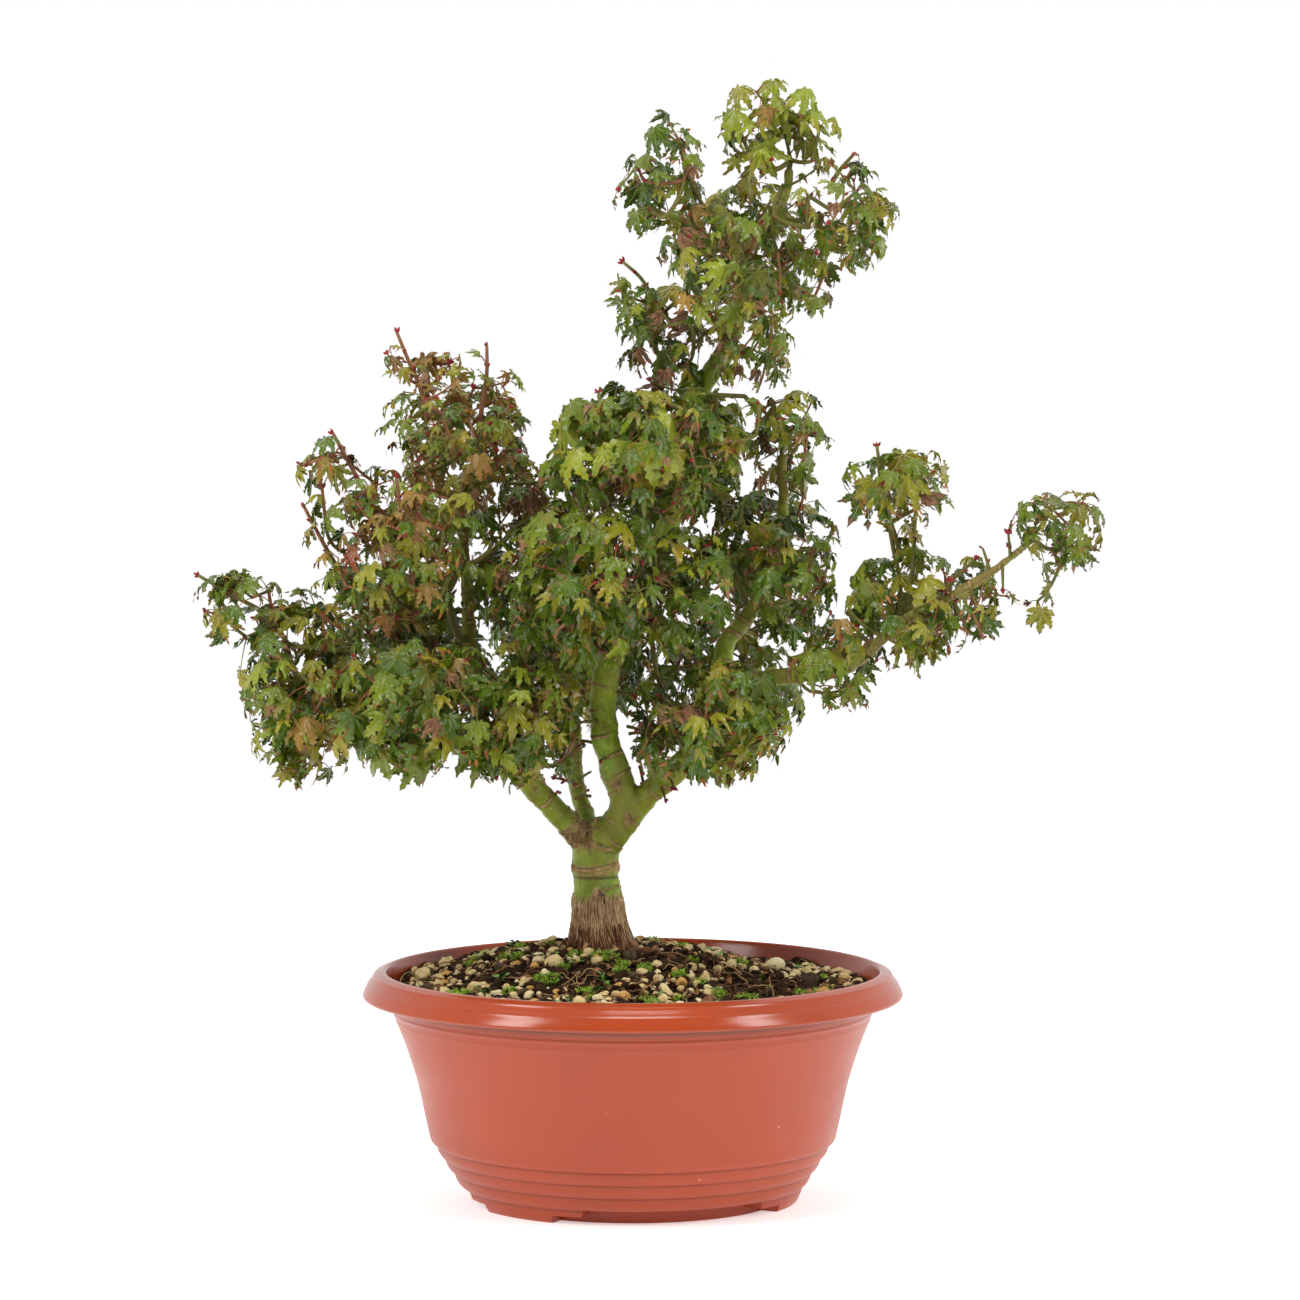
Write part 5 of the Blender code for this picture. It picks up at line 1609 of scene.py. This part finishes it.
def addLeaf(rng, number, root, heading, outward, longest, sort, kind, taken, margin):
    # one leaf on its stalk: of several tries within the mass's space, the one with most room
    best = None
    bestScore = -9.0
    tries = growth["leafTries"]
    for attempt in range(tries):
        size = longest * (1.0 - 0.4 * attempt / tries)
        stalk = size * rng.uniform(0.5, 1.1)
        way = unit(heading + 0.35 * randomUnit(rng) + 0.3 * outward + np.array([0, 0, 0.25]))
        centre = root + way * stalk + np.array([0, 0, -0.22 * stalk])
        fall = unit(0.4 * way + 0.35 * outward + np.array([0, 0, -growth["droop"]]) + 0.5 * randomUnit(rng))
        up = np.array([0, -0.12, 0.6]) + 0.6 * outward + 0.45 * randomUnit(rng)
        axes = leafAxes(rng, fall, up)
        spots = centre + (leafTips[:, :1] * axes[0] + leafTips[:, 1:] * axes[1]) * size * 0.95
        if not inSpace(number, spots, margin) or not clearOfLimbs(spots, growth["limbClearance"]):
            continue
        score = size / longest
        if len(taken):
            gaps = np.linalg.norm(spots[:, None, :] - np.array(taken)[None], axis=2).min(axis=1)
            score -= 1.4 * float((gaps < growth["crowded"]).mean())
        if score > bestScore:
            bestScore = score
            best = size, way, centre, axes, spots, stalk
    if best is None:
        return
    size, way, centre, axes, spots, stalk = best
    taken.extend(spots[[0, 1, 2, 3, 6]])
    small = sort in ("small", "narrow")
    dead = kind == "dead"
    bends = leafBends["dead" if dead else "small" if small else "other"]
    bends = [rng.uniform(*value) if isinstance(value, tuple) else value for value in bends]
    size *= 0.8 if dead else 1.0
    hang = rng.uniform(0.05, 0.65)
    shape = shapeLeaf(patterns[sort], rng, *bends, (hang, hang * rng.uniform(0.5, 1.1)))
    points = centre + shape @ axes * size
    warm = kind in ("bronze", "red", "amber")
    brown = not dead and rng.random() < growth["smallBrownShare" if small else "brownShare"]
    parts = patterns[sort]["parts"]
    used, faces = parts["blade" if brown else "whole"]
    pile(heaps[kind], points[used], faces)
    if brown:
        used, faces = parts["tip"]
        orange = warm or small and rng.random() < 0.5
        pile(heaps["tipsOrange" if orange else "tipsBrown"], points[used], faces)
    used, faces = parts["vein"]
    if len(faces):
        pile(heaps[veinHeaps[kind]], points[used] + axes[2] * 0.1, faces)
    middle = (root + centre) / 2 + way * stalk * 0.12 + np.array([0, 0, 0.22 * stalk])
    bend = [root * (1 - t) ** 2 + 2 * middle * t * (1 - t) + centre * t * t for t in (0.0, 0.33, 0.66, 1.0)]
    pile(heaps["petiolesRed" if warm or rng.random() < growth["redStalkShare"] else "petiolesGreen"],
         *tubeArrays(np.array(bend), np.array([0.5, 0.34, 0.28, 0.3]) * (0.62 + size / 42), 3))


def addBud(rng, root, heading, size):
    # a short pointed bud
    points, faces = budBall
    axes = leafAxes(rng, heading, randomUnit(rng))
    taper = 1.0 - 0.5 * np.clip(points[:, 1], 0, 1)
    across, along, deep = points.T
    shape = np.stack([across * 0.62 * taper, along * 1.2 + 0.75, deep * 0.62 * taper], axis=1)
    pile(heaps["buds"], root + shape @ axes * size, faces)


def drawKind(rng, mix, lean):
    # a leaf mostly takes its spray's colour
    if rng.random() < growth["leanShare"] and lean != "dead":
        return lean
    return rng.choices(kinds, mixes[mix])[0]


def dressTwig(rng, number, route, radius, values, taken, budShare, shares, margin):
    # pairs of leaves and buds along a twig, each pair turned across the one before
    longest, smallShare, mix = values
    longest = longest * growth["leafScale"]
    lean = rng.choices(kinds, mixes[mix])[0]
    slim = 0.16 if mix == "bronze" else 0.04
    lengths = np.linalg.norm(np.diff(route, axis=0), axis=1)
    marks = np.concatenate([[0.0], np.cumsum(lengths)])
    ball = balls[ballOwners == number]
    turn = anyTurn(rng)
    spot = float(marks[-1])
    for place in range(growth["nodesPerTwig"]):
        if spot < 2.0:
            break
        at = np.array([np.interp(spot, marks, route[:, axis]) for axis in range(3)])
        back = np.array([np.interp(max(0.0, spot - 2.0), marks, route[:, axis]) for axis in range(3)])
        along = unit(at - back)
        side = unit(np.cross(along, (0.3, 0.2, 0.9)))
        other = np.cross(along, side)
        near = ball[int(np.argmin(np.linalg.norm((at - ball[:, :3]) / ball[:, 3:], axis=1)))]
        outward = unit((at - near[:3]) / near[3:] + np.array([0, 0, 1e-3]))
        outward = unit(outward + 0.35 * unit(np.array([at[0] + 10, at[1] - 15, 0.0]) + 1e-3))
        for hand in (0.0, math.pi):
            cross = side * math.cos(turn + hand) + other * math.sin(turn + hand)
            if rng.random() < shares[place]:
                sort = rng.choices(("narrow", "small", "middle", "large", "broad"),
                                   (slim, smallShare, 0.32, 0.38 - smallShare * 0.5, 0.26))[0]
                size = longest * {"narrow": 0.56, "small": 0.52, "middle": 0.76, "large": 1.0,
                                  "broad": 0.94}[sort]
                size *= rng.uniform(0.68, 1.06) * (0.82 + 0.18 * min(place, 2) / 2)
                heading = along * (0.9 if place == 0 else 0.5) + cross * 0.8
                kind = drawKind(rng, mix, lean)
                addLeaf(rng, number, at, heading, outward, size, sort, kind, taken, margin)
            if rng.random() < budShare:
                addBud(rng, at + cross * radius * 0.6, cross * 0.6 + along * 0.8, rng.uniform(1.0, 1.7))
        turn += math.pi / 2
        spot -= rng.uniform(*growth["nodeGap"])
    if rng.random() < budShare + 0.1:
        addBud(rng, route[-1], unit(route[-1] - route[-2]), rng.uniform(1.1, 1.7))


def growMass(number, name):
    rng = random.Random(growth["firstSeed"] + number)
    space, longest, smallShare, mix = masses[name][2:]
    start, heading = stemStart(name)
    peg = start + heading * growth["pegLength"]
    nodes = joinSites(number, start, peg, pickSites(rng, number, name))
    carried = [1] * len(nodes)
    for index in range(len(nodes) - 1, 0, -1):
        carried[nodes[index]["parent"]] += carried[index]
    radii = [growth["tipRadius"] * count ** growth["twigGrowth"] for count in carried]
    taken = []
    red = mix == "bronze"
    centre = np.array(space[0][:3], dtype=float)
    routes = []
    for index, node in enumerate(nodes[1:], start=1):
        base = nodes[node["parent"]]["at"]
        outward = unit(node["at"] - centre + 1e-3)
        route = twigRoute(base, node["at"], rng, outward) if index > 1 else np.array([base, node["at"]])
        thick = radii[node["parent"]] if index > 1 else radii[1]
        end = radii[index] * (0.75 if carried[index] == 1 else 1.0)
        taper = np.linspace(min(thick, radii[index] * 1.35), end, len(route))
        young = carried[index] < 4 and rng.random() < (0.8 if red else 0.35)
        pile(heaps["twigsRed" if young else "twigsGreen"], *tubeArrays(route, taper, 5))
        routes.append((index, route))
    for index, route in routes:
        if index > 1:
            dressTwig(rng, number, route, radii[index], (longest, smallShare, mix), taken,
                      0.45 if red else 0.22,
                      growth["leafShares"], growth["spaceMargin"])


def growShoot(index, name):
    # a long bare shoot with bud pairs, small leaves at its joints and a cut or budded end
    rng = random.Random(9100 + index)
    mass, points = shoots[name]
    number = massNames.index(mass)
    longest, _, mix = masses[mass][3:]
    route = smoothRoute([(*point, 0.0) for point in points], 4.0)[:, :3]
    pile(heaps["twigsRed" if mix == "bronze" else "twigsGreen"],
         *tubeArrays(route, np.linspace(1.4, 0.85, len(route)), 8))
    dressTwig(rng, number, route, 1.1, (longest * 0.72, 0.75, mix), [], 0.85, growth["shootShares"], -0.6)


def growSprig(index, place, way, length, mass):
    # a spray of small leaves that springs from a limb
    rng = random.Random(9500 + index)
    number = massNames.index(mass)
    start = np.array(place, dtype=float)
    heading = unit(np.array(way)) * length
    route = np.array([start + heading * t + np.array([0, 0, -1.5 * t * t]) for t in np.linspace(0, 1, 5)])
    pile(heaps["twigsGreen"], *tubeArrays(route, np.linspace(1.0, 0.6, 5), 5))
    for _ in range(3):
        dressTwig(rng, number, route, 0.8, (17.0, 0.35, "green"), [], 0.3, growth["leafShares"], -3.0)


def growStub(points, radius):
    # a short cut-off stub with a pale end
    route = smoothRoute([(*point, 0.0) for point in points], 2.0)[:, :3]
    pile(heaps["twigsGreen"], *tubeArrays(route, np.linspace(radius * 1.15, radius, len(route)), 9))
    way = unit(route[-1] - route[-2])
    cut = np.array([route[-1] - way, route[-1] + way * 0.5])
    pile(heaps["twigsCut"], *tubeArrays(cut, np.array([1.03, 0.94]) * radius, 9))


for index, name in enumerate(masses):
    growMass(index, name)
for index, name in enumerate(shoots):
    growShoot(index, name)
for index, values in enumerate(sprigs):
    growSprig(index, *values)
for points, radius in stubs:
    growStub(points, radius)
say("twigs and leaves grown")

# Finishes of twigs and leaves

stoodFor = {  # the solid masses that each heap of leaves stands for, by their colours
    "deep": tuple(name for name in masses if masses[name][5] in ("green", "mixed", "worn")),
    "bronze": tuple(name for name in masses if masses[name][5] == "bronze"),
    "fresh": tuple(name for name in masses if masses[name][5] == "fresh"),
}
blushes = {
    "deep": tone(104, 84, 28), "mid": tone(136, 104, 36), "olive": tone(150, 108, 42),
    "fresh": tone(156, 132, 44),
    "bronze": tone(150, 76, 40),
}


def addBlush(material, blush):
    # warm blotches over a leaf's own colour
    tree = material.node_tree
    shader = tree.nodes["Principled BSDF"]
    own = shader.inputs["Base Color"].links[0].from_socket
    cloud = filled(tree, grain, {"Scale": 75.0, "Roughness": 0.45})
    mask = ramp(tree, cloud.outputs["Height"], 0.54, 0.68, toHigh=0.5)
    tree.links.new(mixColours(tree, mask, own, blush), shader.inputs["Base Color"])


total = 0
for name, (light, dark, roughness) in leafTones.items():
    leafy = name in kinds and name != "dead"
    finish = plainFinish(name + "Finish", light, dark, roughness, patchScale=45.0, fleckScale=520.0,
                         contrast=0.2,
                         bump=0.5 if leafy else 0.4, bumpScale=330.0, depth=0.0007,
                         Specular_IOR_Level=0.38 if leafy else 0.25)
    if name in blushes:
        addBlush(finish, blushes[name])
    pieceName = name + "Leaves" if name in kinds else name
    piece = heapPiece(pieceName, heaps[name], finish, stoodFor.get(name, ()))
    total += len(piece.data.polygons)
say("foliage of %d triangles" % total)
